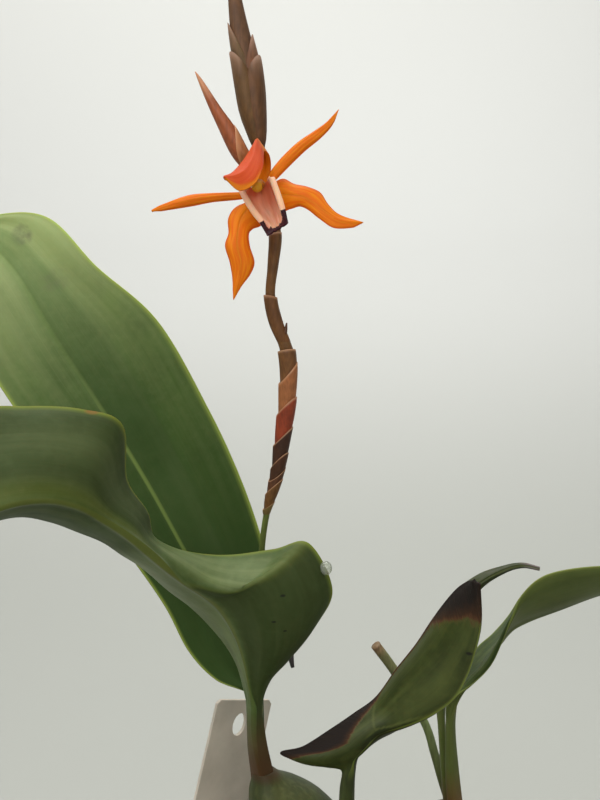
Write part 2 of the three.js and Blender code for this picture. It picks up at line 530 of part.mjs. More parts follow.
// Scales that wrap the stem, each [foot, highest point, dip of the rim, side it rises on, stand-off].
// Their roots are sunk into the stem by the tuck.
const SCALE_TUCK = 0.08;
const STEM_SCALES = [
  [182.4, 185.0, 1.6, 10, 0.3],
  [183.4, 189.4, 3.0, -10, 0.42],
  [186.0, 191.6, 2.6, 25, 0.4],
  [188.0, 194.4, 3.4, -25, 0.44],
  [190.6, 199.2, 3.6, 0, 0.48],
  [194.8, 204.6, 3.6, -15, 0.5],
  [200.2, 210.8, 4.0, 10, 0.5],
  [205.4, 212.9, 0.5, -30, 0.45],
  [213.6, 222.0, 0.4, 180, 0.34],
  [225.0, 232.4, 0.4, 0, 0.14],
];

// Dried scrap of a scale low on the stem
const DRY_SCALE_KNOTS = [
  [-22.7, 0.3, 157.0, 0.5],
  [-20.0, 1.2, 158.4, 0.6],
  [-17.4, 0.6, 156.3, 0.8],
  [-16.4, -0.2, 152.5, 0.35],
];

const THORN_KNOTS = [
  [-18.3, -11.6, 214.6, 0.5],
  [-17.6, -11.9, 215.8, 0.38],
  [-17.3, -12.0, 217.4, 0.12],
];

// Resting bud spike at the top of the stem
const SPIKE = [
  [246.35, -21.95, -14.95, 1.0],
  [248.8, -22.3, -15.2, 1.45],
  [252.0, -22.9, -15.5, 1.9],
  [256.2, -23.4, -15.5, 2.05],
  [261.3, -24.15, -15.5, 1.95],
  [264.8, -24.9, -15.5, 1.72],
  [271.2, -25.9, -15.5, 1.18],
  [275.6, -26.3, -15.5, 0.82],
  [278.8, -26.5, -15.5, 0.45],
];

const SPIKE_SCALES = [
  [249.0, 267.2, 14.0, 185, 0.34],
  [248.0, 265.2, 12.0, -5, 0.42],
  [246.4, 262.0, 9.0, 195, 0.72],
  [246.4, 261.4, 9.0, -15, 0.78],
];

const SIDE_BUD = [
  [241.0, -22.4, -16.4, 0.8],
  [243.1, -24.0, -18.0, 1.5],
  [244.8, -25.1, -18.5, 1.6],
  [248.2, -26.9, -19.0, 1.42],
  [251.0, -28.6, -19.4, 1.02],
  [254.3, -30.4, -19.5, 0.6],
  [256.0, -31.3, -19.5, 0.34],
  [257.0, -31.9, -19.5, 0.1],
];
const SIDE_BUD_SCALE = [241.4, 248.6, 4.0, 0, 0.24];

// Swollen stems, each row [height, x, y, radius]
const BULB_FRONT_LEFT = [
  [81.2, -7.6, 9.4, 3.2],
  [84.0, -8.0, 9.2, 6.6],
  [90.0, -8.9, 8.6, 9.2],
  [100.0, -10.4, 7.2, 10.4],
  [110.0, -12.4, 5.6, 10.3],
  [118.0, -14.5, 4.2, 9.9],
  [124.2, -17.1, 3.0, 8.0],
  [127.6, -19.4, 2.4, 5.7],
  [129.9, -21.2, 1.9, 3.8],
  [131.8, -22.2, 1.4, 2.9],
];

const BULB_FRONT_RIGHT = [
  [81.2, 2.6, -19.4, 3.2],
  [84.0, 2.3, -19.3, 6.0],
  [90.0, 1.4, -19.1, 8.4],
  [100.0, -0.9, -18.6, 9.4],
  [110.0, -3.4, -18.0, 9.1],
  [119.0, -5.6, -17.2, 7.4],
  [124.6, -6.9, -16.7, 5.0],
  [128.0, -7.6, -16.3, 2.5],
];

const BULB_BACK_RIGHT = [
  [81.2, 23.4, 18.0, 3.0],
  [83.6, 23.2, 18.2, 5.8],
  [88.0, 22.6, 18.9, 8.0],
  [94.0, 21.6, 20.2, 8.8],
  [100.0, 20.6, 21.4, 8.2],
  [105.4, 19.9, 22.3, 6.4],
  [109.3, 19.6, 22.7, 5.0],
];
const BULBS = {
  pseudobulb_front_left: BULB_FRONT_LEFT,
  pseudobulb_front_right: BULB_FRONT_RIGHT,
  pseudobulb_back_right: BULB_BACK_RIGHT,
};
const BULB_SIDES = 16;
const BULB_ROWS = 11;
const BULB_RIDGES = 5;
const BULB_RIDGE = 0.03;

const OLD_STALK_KNOTS = [
  [20.0, 26.0, 109.6, 1.0],
  [18.4, 26.2, 114.6, 1.0],
  [16.6, 26.3, 121.0, 1.0],
  [14.1, 25.8, 128.6, 0.95],
  [7.4, 24.3, 140.4, 1.1],
  [2.4, 23.2, 147.6, 1.15],
];

// Creeping stem that the swollen stems stand on, and its roots
const RHIZOME_KNOTS = [
  [6.0, -27.0, 77.2, 1.6],
  [2.6, -19.4, 78.0, 2.9],
  [-3.0, -5.0, 77.6, 2.5],
  [-7.6, 9.4, 78.0, 2.9],
  [8.0, 15.5, 77.6, 2.5],
  [23.4, 18.0, 78.0, 2.8],
  [30.0, 19.0, 77.0, 1.6],
];
const ROOTS = [
  [[2.6, -19.4, 77.0, 1.1], [5.0, -21.0, 66.0, 0.9], [12.0, -24.0, 48.0, 0.8], [16.0, -22.0, 28.0, 0.6]],
  [[-3.0, -5.0, 77.0, 1.1], [-7.0, -9.0, 66.0, 0.9], [-16.0, -15.0, 46.0, 0.8], [-15.0, -20.0, 24.0, 0.6]],
  [[-7.6, 9.4, 77.0, 1.1], [-14.0, 13.0, 66.0, 0.9], [-22.0, 20.0, 50.0, 0.8], [-20.0, 22.0, 30.0, 0.6]],
  [[8.0, 15.5, 77.0, 1.1], [7.0, 20.0, 64.0, 0.9], [3.0, 27.0, 46.0, 0.8], [5.0, 26.0, 24.0, 0.6]],
  [[23.4, 18.0, 77.0, 1.1], [28.0, 15.0, 66.0, 0.9], [30.0, 6.0, 50.0, 0.8], [27.0, 2.0, 32.0, 0.6]],
];

// Builders of the pieces

function bulb(rows, grow = 0) {
  const first = rows[0][0];
  const last = rows[rows.length - 1][0];
  const x = new THREE.Vector3(1, 0, 0);
  const y = new THREE.Vector3(0, 1, 0);
  const rings = [];
  for (let i = 0; i <= BULB_ROWS; i += 1) {
    const ease = 0.5 - 0.5 * Math.cos((Math.PI * i) / BULB_ROWS);
    const place = first + (last - first) * ease;
    const [z, cx, cy, radius] = along(rows, place);
    const lift = i === 0 ? -grow : i === BULB_ROWS ? grow : 0;
    const ring = ringAt(new THREE.Vector3(cx, cy, z + lift), x, y, radius + grow, BULB_SIDES);
    const fade = Math.sin(Math.PI * ease);
    ring.forEach((p, j) => {
      const turn = (2 * Math.PI * j) / BULB_SIDES;
      const ridge = 1 + BULB_RIDGE * fade * Math.cos(BULB_RIDGES * turn);
      p.x = cx + (p.x - cx) * ridge;
      p.y = cy + (p.y - cy) * ridge;
    });
    rings.push(ring);
  }
  return loft(rings);
}

function stemPiece(rows, steps, sides) {
  const foot = rows[0][0];
  const head = rows[rows.length - 1][0];
  const rings = [];
  for (let i = 0; i <= steps; i += 1) {
    const [z, x, y, radius] = along(rows, foot + ((head - foot) * i) / steps);
    rings.push(upright(x, y, z, radius, sides));
  }
  return loft(rings);
}

function upright(x, y, z, radius, sides) {
  const right = new THREE.Vector3(1, 0, 0);
  const back = new THREE.Vector3(0, 1, 0);
  return ringAt(new THREE.Vector3(x, y, z), right, back, radius, sides);
}

// One wrapping scale: a sleeve whose slanting rim stands a little off the stem
function scale(rows, [foot, top, dip, side, stand], steps, sides) {
  const rings = [];
  const facing = THREE.MathUtils.degToRad(side);
  for (let i = 0; i <= steps; i += 1) {
    const ring = [];
    for (let j = 0; j < sides; j += 1) {
      const turn = (2 * Math.PI * j) / sides;
      const rim = top - (dip * (1 - Math.cos(turn - facing))) / 2;
      const [z, x, y, radius] = along(rows, foot + ((rim - foot) * i) / steps);
      const reach = radius - SCALE_TUCK + (stand + SCALE_TUCK) * Math.sqrt(i / steps);
      ring.push(new THREE.Vector3(x + reach * Math.cos(turn), y + reach * Math.sin(turn), z));
    }
    rings.push(ring);
  }
  return loft(rings);
}

// A length of stem with the scales that wrap it
function scaledStem(rows, steps, sides, scales, scaleSteps) {
  const parts = [solidOf(stemPiece(rows, steps, sides))];
  for (const row of scales) parts.push(solidOf(scale(rows, row, scaleSteps, sides + 2)));
  return joined(parts);
}

function flowerStem() {
  const stem = scaledStem(STEM, 30, 8, STEM_SCALES, 2);
  const thorn = solidOf(rod(THORN_KNOTS, 2, 5));
  const scrap = solidOf(rod(DRY_SCALE_KNOTS, 6, 5));
  return geometryFrom(stem.add(thorn).add(scrap));
}

function potWallR(z) {
  return POT_FOOT_R + ((POT_WAIST_R - POT_FOOT_R) * z) / (POT_HEIGHT - POT_RIM_DEEP);
}

function pot() {
  const shoulder = POT_HEIGHT - POT_RIM_DEEP;
  const lip = POT_RIM_R - POT_WALL;
  const profile = [
    [0, 0],
    [POT_FOOT_R - POT_ROUND, 0],
    [POT_FOOT_R, POT_ROUND],
    [potWallR(shoulder - POT_ROUND), shoulder - POT_ROUND],
    [POT_RIM_R - POT_ROUND, shoulder],
    [POT_RIM_R, POT_HEIGHT - POT_ROUND],
    [POT_RIM_R - POT_ROUND / 2, POT_HEIGHT],
    [lip - POT_ROUND / 2, POT_HEIGHT],
    [lip - POT_ROUND, POT_HEIGHT - POT_ROUND],
    [potWallR(POT_FLOOR + POT_ROUND) - POT_WALL, POT_FLOOR + POT_ROUND],
    [potWallR(POT_FLOOR) - POT_WALL - POT_ROUND, POT_FLOOR],
    [0, POT_FLOOR],
  ];
  const points = profile.map(([r, z]) => new THREE.Vector2(r, z));
  const shell = new THREE.LatheGeometry(points, POT_SIDES);
  shell.rotateX(Math.PI / 2);
  let body = solidOf(outward(mergeVertices(bare(shell), WELD)));
  for (let i = 0; i < DRAIN_COUNT; i += 1) {
    const turn = (2 * Math.PI * (i + 0.5)) / DRAIN_COUNT;
    const x = DRAIN_RING_R * Math.cos(turn);
    const y = DRAIN_RING_R * Math.sin(turn);
    const bore = [-1, POT_FLOOR + 1].map((z) => upright(x, y, z, DRAIN_R, DRAIN_SIDES));
    body = body.subtract(solidOf(loft(bore)));
  }
  return geometryFrom(body);
}

function bare(geometry) {
  geometry.deleteAttribute("normal");
  geometry.deleteAttribute("uv");
  return geometry;
}

// Even random numbers from a seed
function dice(seed) {
  let state = seed;
  return () => {
    state = (state * 16807) % 2147483647;
    return state / 2147483647;
  };
}

// A chip of bark: a rough six-sided flake, tipped at random
function chip(x, y, z, roll) {
  const long = 4 + 4.5 * roll();
  const wide = 2.6 + 2.4 * roll();
  const thick = 1.4 + 1.4 * roll();
  const rings = [-1, 1].map((side) => {
    const ring = [];
    for (let j = 0; j < 6; j += 1) {
      const turn = (2 * Math.PI * (j + 0.35 * roll())) / 6;
      const shrink = side > 0 ? 0.72 : 1;
      const px = long * Math.cos(turn) * shrink;
      const py = wide * Math.sin(turn) * shrink;
      ring.push(new THREE.Vector3(px, py, side * thick * (0.8 + 0.4 * roll())));
    }
    return ring;
  });
  const pose = new THREE.Euler(0.5 * (roll() - 0.5), 0.5 * (roll() - 0.5), 2 * Math.PI * roll());
  for (const p of rings.flat()) p.applyEuler(pose).add(new THREE.Vector3(x, y, z));
  return loft(rings);
}

function mediumHeight(radius) {
  return MEDIUM_TOP + MEDIUM_SWELL * (1 - (radius / POT_WAIST_R) ** 2);
}

function growingMedium() {
  const floor = POT_FLOOR + GAP;
  const inner = (z) => potWallR(z) - POT_WALL - GAP;
  const edge = inner(MEDIUM_TOP) - GAP;
  const profile = [
    [0, floor],
    [inner(POT_FLOOR) - 2 * POT_ROUND, floor],
    [inner(POT_FLOOR + 2 * POT_ROUND) - GAP, POT_FLOOR + 2 * POT_ROUND],
    [edge, mediumHeight(edge)],
    [(edge * 2) / 3, mediumHeight((edge * 2) / 3)],
    [edge / 3, mediumHeight(edge / 3)],
    [0, mediumHeight(0)],
  ];
  const points = profile.map(([r, z]) => new THREE.Vector2(r, z));
  const fill = new THREE.LatheGeometry(points, POT_SIDES);
  fill.rotateX(Math.PI / 2);
  let body = solidOf(outward(mergeVertices(bare(fill), WELD)));
  const roll = dice(CHIP_SEED);
  for (let i = 0; i < CHIP_COUNT; i += 1) {
    const radius = CHIP_RING_R * Math.sqrt((i + 0.5) / CHIP_COUNT);
    const turn = i * CHIP_TURN + 0.4 * roll();
    const x = radius * Math.cos(turn);
    const y = radius * Math.sin(turn);
    body = body.add(solidOf(chip(x, y, mediumHeight(radius) + 0.2 + 0.9 * roll(), roll)));
  }
  body = body.subtract(rhizome(HOLE_GAP));
  for (const rows of Object.values(BULBS)) body = body.subtract(solidOf(bulb(rows, HOLE_GAP)));
  body = body.subtract(solidOf(labelSlip(GAP)));
  return geometryFrom(mainBody(body));
}

function rhizome(grow = 0) {
  const parts = [solidOf(rod(RHIZOME_KNOTS, 14, 8, grow))];
  for (const knots of ROOTS) parts.push(solidOf(rod(knots, 5, 6, grow)));
  return joined(parts);
}

// A point on the label: across it, down it and out of its face
function onLabel(s, t, n) {
  const run = v3(LABEL_RUN).normalize();
  const across = v3(LABEL_ACROSS);
  across.addScaledVector(run, -across.dot(run)).normalize();
  const face = new THREE.Vector3().crossVectors(run, across);
  return v3(LABEL_TOP).addScaledVector(across, s).addScaledVector(run, t).addScaledVector(face, n);
}

// The slip itself, pointed below
function labelSlip(grow = 0) {
  const half = LABEL_WIDTH / 2 + grow;
  const shoulder = LABEL_LENGTH - LABEL_POINT;
  const outline = [
    [LABEL_CORNER - half, -grow],
    [half - LABEL_CORNER, -grow],
    [half, LABEL_CORNER - grow],
    [half, shoulder],
    [LABEL_TIP, LABEL_LENGTH + grow],
    [-LABEL_TIP, LABEL_LENGTH + grow],
    [-half, shoulder],
    [-half, LABEL_CORNER - grow],
  ];
  const thick = LABEL_THICK / 2 + grow;
  return loft([-thick, thick].map((n) => outline.map(([s, t]) => onLabel(s, t, n))));
}

// A blank slip with a long hole near its top
function label() {
  const bore = [-1, 1].map((n) => {
    const ring = [];
    for (let j = 0; j < LABEL_HOLE_SIDES; j += 1) {
      const turn = (2 * Math.PI * j) / LABEL_HOLE_SIDES;
      const t = LABEL_HOLE_DROP + LABEL_HOLE_LONG * Math.sin(turn);
      ring.push(onLabel(LABEL_HOLE_SIDE + LABEL_HOLE_R * Math.cos(turn), t, n));
    }
    return ring;
  });
  return geometryFrom(solidOf(labelSlip()).subtract(solidOf(loft(bore))));
}

// Finishes, each [colour, roughness]
const FINISH = {
  pot: ["#2b2c2d", 0.55],
  bark: ["#5b4230", 0.95],
  rhizome: ["#7a6a45", 0.8],
  bulb: ["#5f6a38", 0.45],
  upperLeaf: ["#3f5f33", 0.4],
  foldedLeaf: ["#5a6b3a", 0.42],
  burntLeaf: ["#59683a", 0.45],
  darkLeaf: ["#435a36", 0.42],
  stem: ["#7a5138", 0.5],
  spike: ["#6e5546", 0.5],
  bud: ["#b86f4e", 0.5],
  tepal: ["#dd7a20", 0.5],
  hood: ["#dd6a45", 0.5],
  lip: ["#d89a7c", 0.5],
  column: ["#c09a3c", 0.4],
  pedicel: ["#b5754a", 0.5],
  stalk: ["#6a6a3e", 0.7],
  label: ["#b5ada0", 0.7],
};

const orchid = new THREE.Group();
orchid.name = "potted_orchid";

function place(name, geometry, finish) {
  const [colour, roughness] = FINISH[finish];
  const material = new THREE.MeshStandardMaterial({ color: colour, roughness, metalness: 0 });
  material.name = finish;
  const mesh = new THREE.Mesh(geometry, material);
  mesh.name = name;
  orchid.add(mesh);
}

place("pot", pot(), "pot");
place("growing_medium", growingMedium(), "bark");
place("rhizome_with_roots", geometryFrom(rhizome()), "rhizome");
for (const [name, rows] of Object.entries(BULBS)) place(name, bulb(rows), "bulb");
for (const [name, spec] of Object.entries(LEAVES)) place(name, leaf(spec), spec.finish);
place("old_stalk", rod(OLD_STALK_KNOTS, 10, 8), "stalk");
place("flower_stem", flowerStem(), "stem");
place("bud_spike", geometryFrom(scaledStem(SPIKE, 12, 10, SPIKE_SCALES, 4)), "spike");
place("side_bud", geometryFrom(scaledStem(SIDE_BUD, 10, 8, [SIDE_BUD_SCALE], 3)), "bud");
place("pedicel", rod(PEDICEL_KNOTS, 4, 8), "pedicel");
place("column", rod(COLUMN_KNOTS, 8, 10), "column");
for (const [name, spec] of Object.entries(TEPALS)) place(name, tepal(spec), spec.finish);
place("label", label(), "label");

export default orchid;
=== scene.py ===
"""Dresses the potted orchid: finer leaves, flower, stems, bark and pot, their finishes, and the stage."""

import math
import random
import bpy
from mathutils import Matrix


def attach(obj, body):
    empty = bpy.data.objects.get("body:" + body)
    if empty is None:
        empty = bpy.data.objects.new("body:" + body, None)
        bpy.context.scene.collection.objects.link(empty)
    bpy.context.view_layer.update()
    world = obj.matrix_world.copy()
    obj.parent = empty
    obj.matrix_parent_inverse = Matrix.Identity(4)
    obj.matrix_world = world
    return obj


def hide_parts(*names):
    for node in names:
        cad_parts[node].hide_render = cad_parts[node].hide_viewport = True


bl_info = {
    "name": "Potted Orchid",
    "version": (1, 0, 0),
    "blender": (4, 5, 0),
    "location": "3D View > Sidebar > Orchid",
    "description": "Builds a small flowering orchid in a nursery pot, with its finishes and stage",
    "category": "Add Mesh",
}

import bmesh
import bpy
import numpy as np
from bpy.props import FloatProperty, FloatVectorProperty, IntProperty, PointerProperty
from mathutils import Euler, Matrix, Vector

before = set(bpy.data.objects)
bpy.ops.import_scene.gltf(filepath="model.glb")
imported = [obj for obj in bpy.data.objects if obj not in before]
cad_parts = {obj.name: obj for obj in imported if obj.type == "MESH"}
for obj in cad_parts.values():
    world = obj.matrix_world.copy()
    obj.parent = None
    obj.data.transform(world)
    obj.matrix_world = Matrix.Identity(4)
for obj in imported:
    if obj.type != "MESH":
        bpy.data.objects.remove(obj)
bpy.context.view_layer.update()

MM = 0.001
# Sockets of the Mix node when it mixes colours
MIX_RESULT = 2
MIX_A = 6
MIX_B = 7

# Pot and growing medium, in millimetres
POT_HEIGHT = 88
POT_FOOT_R = 38
POT_WAIST_R = 50.5
POT_RIM_R = 54
POT_RIM_DEEP = 11
POT_RIM_TAPER = 0.6
POT_LIP_DROP = 1.4
POT_ROUND = 0.9
POT_WALL = 2
POT_FLOOR = 3
DRAIN_COUNT = 8
DRAIN_R = 3.6
DRAIN_RING_R = 25
DRAIN_SIDES = 32
MEDIUM_TOP = 78.5
MEDIUM_SWELL = 1.2
MEDIUM_GAP = 0.6
MEDIUM_SIDES = 96
CHIP_CORNERS = 14
CHIP_BEVEL = 0.25
CHIP_MARGIN = 5
CHIP_SINK = 0.9
CHIP_HEAP = 2
CHIP_SEED = 7

# Thickness and relief of leaves, flower and scales, in millimetres
BLADE_THICK = 0.75
STALK_THICK = 1.5
RIB_GROOVE = 0.22
TEPAL_THICK = 0.5
TEPAL_CREASE = 0.06
LIP_KEEL = 0.14
SCALE_TUCK = 0.08
SCALE_PAPER = 0.08
SCALE_STEPS = 10
# Ribs of a swollen stem, and their height as a share of its radius
BULB_RIBS = 5
BULB_RIB_SHARE = 0.03
RHIZOME_JOINTS = 14
DROP_PLACE = (-10.4, -9.4, 174.1)
DROP_STRETCH = (0.95, 0.9, 1.1)
# How much of a small spot's tint covers the skin beneath it
SPOT_SHARE = 0.9

# Stage, in millimetres
CAMERA_PLACE = (-15, -120, 204)
CAMERA_LENS = 28
CAMERA_SENSOR = 36
CAMERA_NEAR = 5
WALL_BACK = 600
WALL_HIGH = 1500
STAGE_R = 1500
STAGE_SIDES = 96
BEND_R = 380
BEND_STEPS = 24
# Heights over which painted shade on the backdrop fades from the floor's darker colour into the wall's
SWEEP_LOW = 20
SWEEP_HIGH = 420
# Name, place and aim in mm, size in mm, power in watts, colour
LAMPS = (
    ("Ceiling", (-120, 60, 1200), (0, 0, 150), 900, 8.9, "#fffdf8"),
    ("Window", (-450, -700, 760), (-10, 0, 190), 700, 5.2, "#fbfbff"),
    ("Front fill", (120, -560, 330), (-20, -20, 225), 350, 1.0, "#fffaf4"),
    ("Wall wash", (60, 90, 430), (60, 600, 200), 420, 1.0, "#fdfdff"),
)
WORLD_STRENGTH = 0.22

# Blades: a station is [rib, right margin, left margin, belly of the right half, belly of the left half],
# in millimetres, each belly being how far the middle of that half stands off the straight line.

# Tall leaf behind, upper side to the front
BACK_LEAF = [
    [[-23.2, 3.4, 132.1], [-21.9, 4.0, 132.1], [-24.6, 4.0, 132.1]],
    [[-23.3, 3.8, 138.0], [-22.2, 4.4, 138.0], [-24.6, 4.4, 138.0]],
    [[-23.6, 4.6, 144.0], [-22.4, 5.0, 144.5], [-25.2, 5.2, 144.5]],
    [[-25.4, 6.2, 148.8], [-21.6, 5.2, 152.0], [-32.1, 6.0, 147.4], [0, 1.0, 0], [0, 1.0, 0]],
    [[-28.0, 8.2, 153.0], [-20.9, 6.2, 158.6], [-37.8, 7.2, 152.7], [0, 1.4, 0], [0, 1.4, 0]],
    [[-32.2, 10.8, 159.4], [-20.8, 7.8, 166.0], [-43.0, 8.8, 161.4], [0, 1.6, 0], [0, 1.6, 0]],
    [[-40.0, 14.0, 171.7], [-22.7, 11.0, 173.4], [-50.8, 11.0, 171.2], [0, 1.8, 0], [0, 1.6, 0]],
    [[-49.0, 17.0, 186.2], [-27.7, 14.0, 186.8], [-60.6, 12.8, 183.0], [0, 1.8, 0], [0, 1.6, 0]],
    [[-58.8, 19.0, 201.1], [-35.1, 17.0, 201.9], [-71.6, 14.0, 195.6], [0, 1.5, 0], [0, 1.4, 0]],
    [[-70.2, 21.0, 217.4], [-46.9, 19.4, 221.7], [-79.8, 15.4, 206.2], [0, 1.5, 0], [0, 1.2, 0]],
    [[-80.4, 23.0, 233.2], [-61.3, 21.6, 234.4], [-87.2, 17.0, 217.0], [0, 1.2, 0], [0, 1.2, 0]],
    [[-87.3, 23.2, 240.2], [-72.8, 22.4, 245.8], [-92.4, 18.8, 226.4], [0, 0.8, 0], [0, 0.8, 0]],
    [[-93.4, 23.2, 242.5], [-86.0, 22.8, 246.3], [-95.6, 20.8, 235.6], [0, 0.4, 0], [0, 0.4, 0]],
    [[-98.8, 22.4, 241.0], [-98.3, 22.4, 241.8], [-99.2, 22.2, 240.3]],
]

# Arched leaf in front, folded along its keel and seen from beneath
FRONT_LEAF = [
    [[-22.6, -1.7, 132.1], [-20.2, -0.6, 132.1], [-24.8, -0.6, 132.1]],
    [[-23.6, -2.0, 140.3], [-21.7, -1.0, 140.3], [-25.0, -0.9, 140.2]],
    [[-23.7, -3.0, 146.6], [-22.2, -1.7, 146.3], [-25.1, -1.4, 146.1]],
    [[-24.1, -4.0, 150.7], [-20.5, -2.5, 151.7], [-25.6, -1.4, 148.8], [0.3, -0.8, -0.3], [0, 0, -0.2]],
    [[-24.7, -6.0, 155.6], [-16.7, -4.0, 156.5], [-26.8, -1.0, 153.4], [0.6, -1.8, -0.8], [-0.3, 0, -0.5]],
    [[-25.8, -8.0, 160.8], [-11.8, -6.0, 163.3], [-29.2, -0.5, 157.4], [1, -3.4, -1], [-0.4, 0, -0.8]],
    [[-27.6, -10.0, 165.5], [-9.3, -8.2, 170.2], [-32.9, 0.0, 161.4], [0.8, -4.4, 0.4], [-0.4, -0.2, -0.8]],
    [[-29.4, -12, 168.8], [-13.5, -8.2, 178.2], [-36.5, -0.5, 165.2], [1.2, -4.8, 0.4], [-0.5, -0.4, -0.9]],
    [[-31.5, -14, 171.3], [-19.6, -7.2, 176.9], [-40.4, -2, 168.8], [1.6, -4.2, -1.2], [-0.5, -0.6, -0.8]],
    [[-33.9, -17, 174], [-28, -8, 176], [-43, -5, 172.6], [1.2, -2.4, -1], [-0.5, -0.6, -0.6]],
    [[-36.2, -20, 177], [-34.8, -10.4, 177.2], [-44.8, -8, 175.4], [0.6, -1.6, 0.4], [-0.4, -0.6, -0.6]],
    [[-38.7, -23, 180.4], [-39.8, -13.2, 180], [-46.6, -10.4, 177.4], [0.1, -1.2, 1], [-0.4, -0.6, -0.6]],
    [[-41, -26, 183.6], [-40.2, -17.4, 185.5], [-49, -13.4, 180.3], [0, -1.2, 0.8], [-0.4, -0.8, -0.6]],
    [[-43.4, -29, 186.4], [-42.3, -22, 191.4], [-52, -16.4, 182.5], [-0.2, -1.4, 0.3], [-0.4, -1, -0.6]],
    [[-46.1, -32, 189], [-41.9, -26, 200.2], [-55.4, -19.4, 184.7], [-0.4, -1.8, 0], [-0.4, -1.2, -0.6]],
    [[-49.4, -35, 190.4], [-47, -28, 202.5], [-59, -22.4, 186.1], [-0.5, -2.2, 0], [-0.4, -1.2, -0.6]],
    [[-53.5, -38, 190.2], [-54.4, -30, 203], [-62.6, -25.4, 185.5], [-0.5, -2.2, 0], [-0.4, -1.2, -0.6]],
    [[-58.2, -41, 188], [-61.4, -32.4, 202], [-66.6, -29.4, 183.4], [-0.5, -1.8, 0], [-0.4, -1, -0.6]],
    [[-63.5, -43.4, 183.6], [-67.4, -36.6, 193.6], [-69.4, -35.4, 178.8], [-0.4, -1, 0], [-0.3, -0.6, -0.4]],
    [[-68.6, -45.0, 176.6], [-68.9, -44.6, 177.2], [-68.8, -44.6, 176.0]],
]

# Smaller leaf at the right, scorched along its margin, also seen from beneath
BURNT_LEAF = [
    [[-7.2, -16.9, 128.3], [-8.9, -15.9, 128.3], [-6.0, -15.9, 128.3]],
    [[-7.0, -16.9, 138.6], [-8.3, -16.0, 138.6], [-6.1, -16.0, 138.6]],
    [[-6.6, -17.0, 142.6], [-8.2, -16.1, 142.5], [-5.9, -15.9, 143.0]],
    [[-6.1, -17.2, 144.6], [-12.3, -16.3, 143.5], [-5.2, -15.5, 144.8], [0, -0.6, -0.2]],
    [[-4.9, -17.4, 146.1], [-16.1, -17.0, 144.6], [-4.0, -14.2, 145.4], [0, -1.3, -0.5], [0.1, 0, -0.2]],
    [[-3.8, -17.5, 147.3], [-18.2, -17.5, 146.0], [-2.4, -12.4, 145.6], [0, -1.7, -0.6], [0.1, 0, -0.3]],
    [[-2.9, -17.5, 148.4], [-14.6, -17.4, 146.8], [-0.4, -10.6, 145.6], [0, -1.7, -0.4], [0.1, 0, -0.4]],
    [[-1.9, -17.7, 149.3], [-10.1, -16.2, 148.9], [1.8, -8.8, 145.6], [0, -1.6, 0], [0.1, -0.2, -0.4]],
    [[-0.6, -18.3, 150.1], [-6.0, -15.0, 151.0], [3.8, -7.4, 146.0], [0, -1.4, 0.3], [0, -0.3, -0.4]],
    [[0.9, -19.1, 150.9], [-2.0, -14.0, 153.4], [5.6, -6.6, 146.8], [-0.2, -1.5, 0.4], [-0.1, -0.4, -0.4]],
    [[3.2, -20.1, 152.2], [1.5, -14.0, 158.2], [7.4, -6.4, 148.4], [-0.5, -1.9, 0.5], [-0.2, -0.4, -0.3]],
    [[6.1, -21.1, 154.1], [4.6, -14.8, 162.6], [9.2, -7.2, 151.2], [-0.7, -2.2, 0.7], [-0.2, -0.4, -0.2]],
    [[9.2, -22.1, 157.1], [7.2, -15.8, 167.2], [10.8, -9.0, 155.0], [-0.7, -2.2, 0.7], [-0.2, -0.4, 0]],
    [[11.0, -23.1, 161.2], [9.2, -17.2, 170.8], [12.2, -11.4, 159.8], [-0.5, -1.9, 0.5], [-0.2, -0.4, 0]],
    [[12.1, -23.8, 165.5], [10.7, -18.8, 173.4], [13.0, -14.6, 165.2], [-0.3, -1.3, 0.3], [-0.1, -0.3, 0]],
    [[12.8, -24.0, 169.8], [11.8, -20.6, 175.0], [13.2, -18.6, 170.6], [-0.2, -0.7, 0.2], [-0.1, -0.2, 0]],
    [[12.6, -23.6, 175.6], [11.9, -23.2, 176.0], [12.8, -23.0, 175.6]],
]

# Leaf that leans out to the right, its trough open to the front
RIGHT_LEAF = [
    [[20.0, 18.8, 109.6], [21.9, 19.8, 109.6], [18.6, 19.8, 109.6]],
    [[19.0, 19.0, 120.0], [20.7, 20.0, 120.0], [17.8, 20.0, 120.0]],
    [[18.6, 19.0, 131.0], [19.8, 20.2, 131.0], [17.8, 19.7, 131.4]],
    [[19.3, 18.2, 136.6], [20.7, 21.2, 137.8], [17.8, 17.6, 137.1], [0.2, 0, -0.3], [0, 0, 0]],
    [[21.9, 18.0, 141.0], [22.8, 24.0, 142.0], [22.8, 15.8, 142.1], [0.3, 0, -0.5], [-0.1, 0, 0.2]],
    [[25.0, 17.0, 145.0], [27.0, 27.0, 145.6], [26.0, 13.6, 147.0], [0.4, 0, -0.8], [-0.3, -0.4, 0.5]],
    [[27.8, 16.0, 150.0], [30.9, 28.0, 148.4], [27.7, 11.0, 153.3], [0.6, 0, -1.0], [-0.4, -0.8, 0.5]],
    [[30.1, 15.0, 153.9], [34.7, 28.2, 152.6], [28.6, 8.2, 159.0], [0.6, 0, -1.2], [-0.4, -1, 0.5]],
    [[34.1, 14.0, 156.7], [38.3, 28.0, 158.0], [30.2, 6.0, 164.8], [0.6, 0, -1.4], [-0.2, -1.2, 0]],
    [[40.6, 13.0, 159.6], [43.8, 26.8, 162.0], [34.6, 4.2, 169.2], [0.4, 0, -1.4], [0.2, -1.2, -1]],
    [[48.9, 12.4, 162.9], [52.6, 24.4, 163.6], [44.2, 3.4, 171.0], [0.2, 0, -1.2], [0, -1, -1]],
    [[57.4, 12.0, 164.6], [60.8, 20.4, 164.6], [54.8, 6.0, 169.6], [0, 0, -0.8], [0, -0.6, -0.6]],
    [[68.2, 12.0, 163.0], [68.4, 12.8, 163.0], [68.2, 11.4, 163.4]],
]

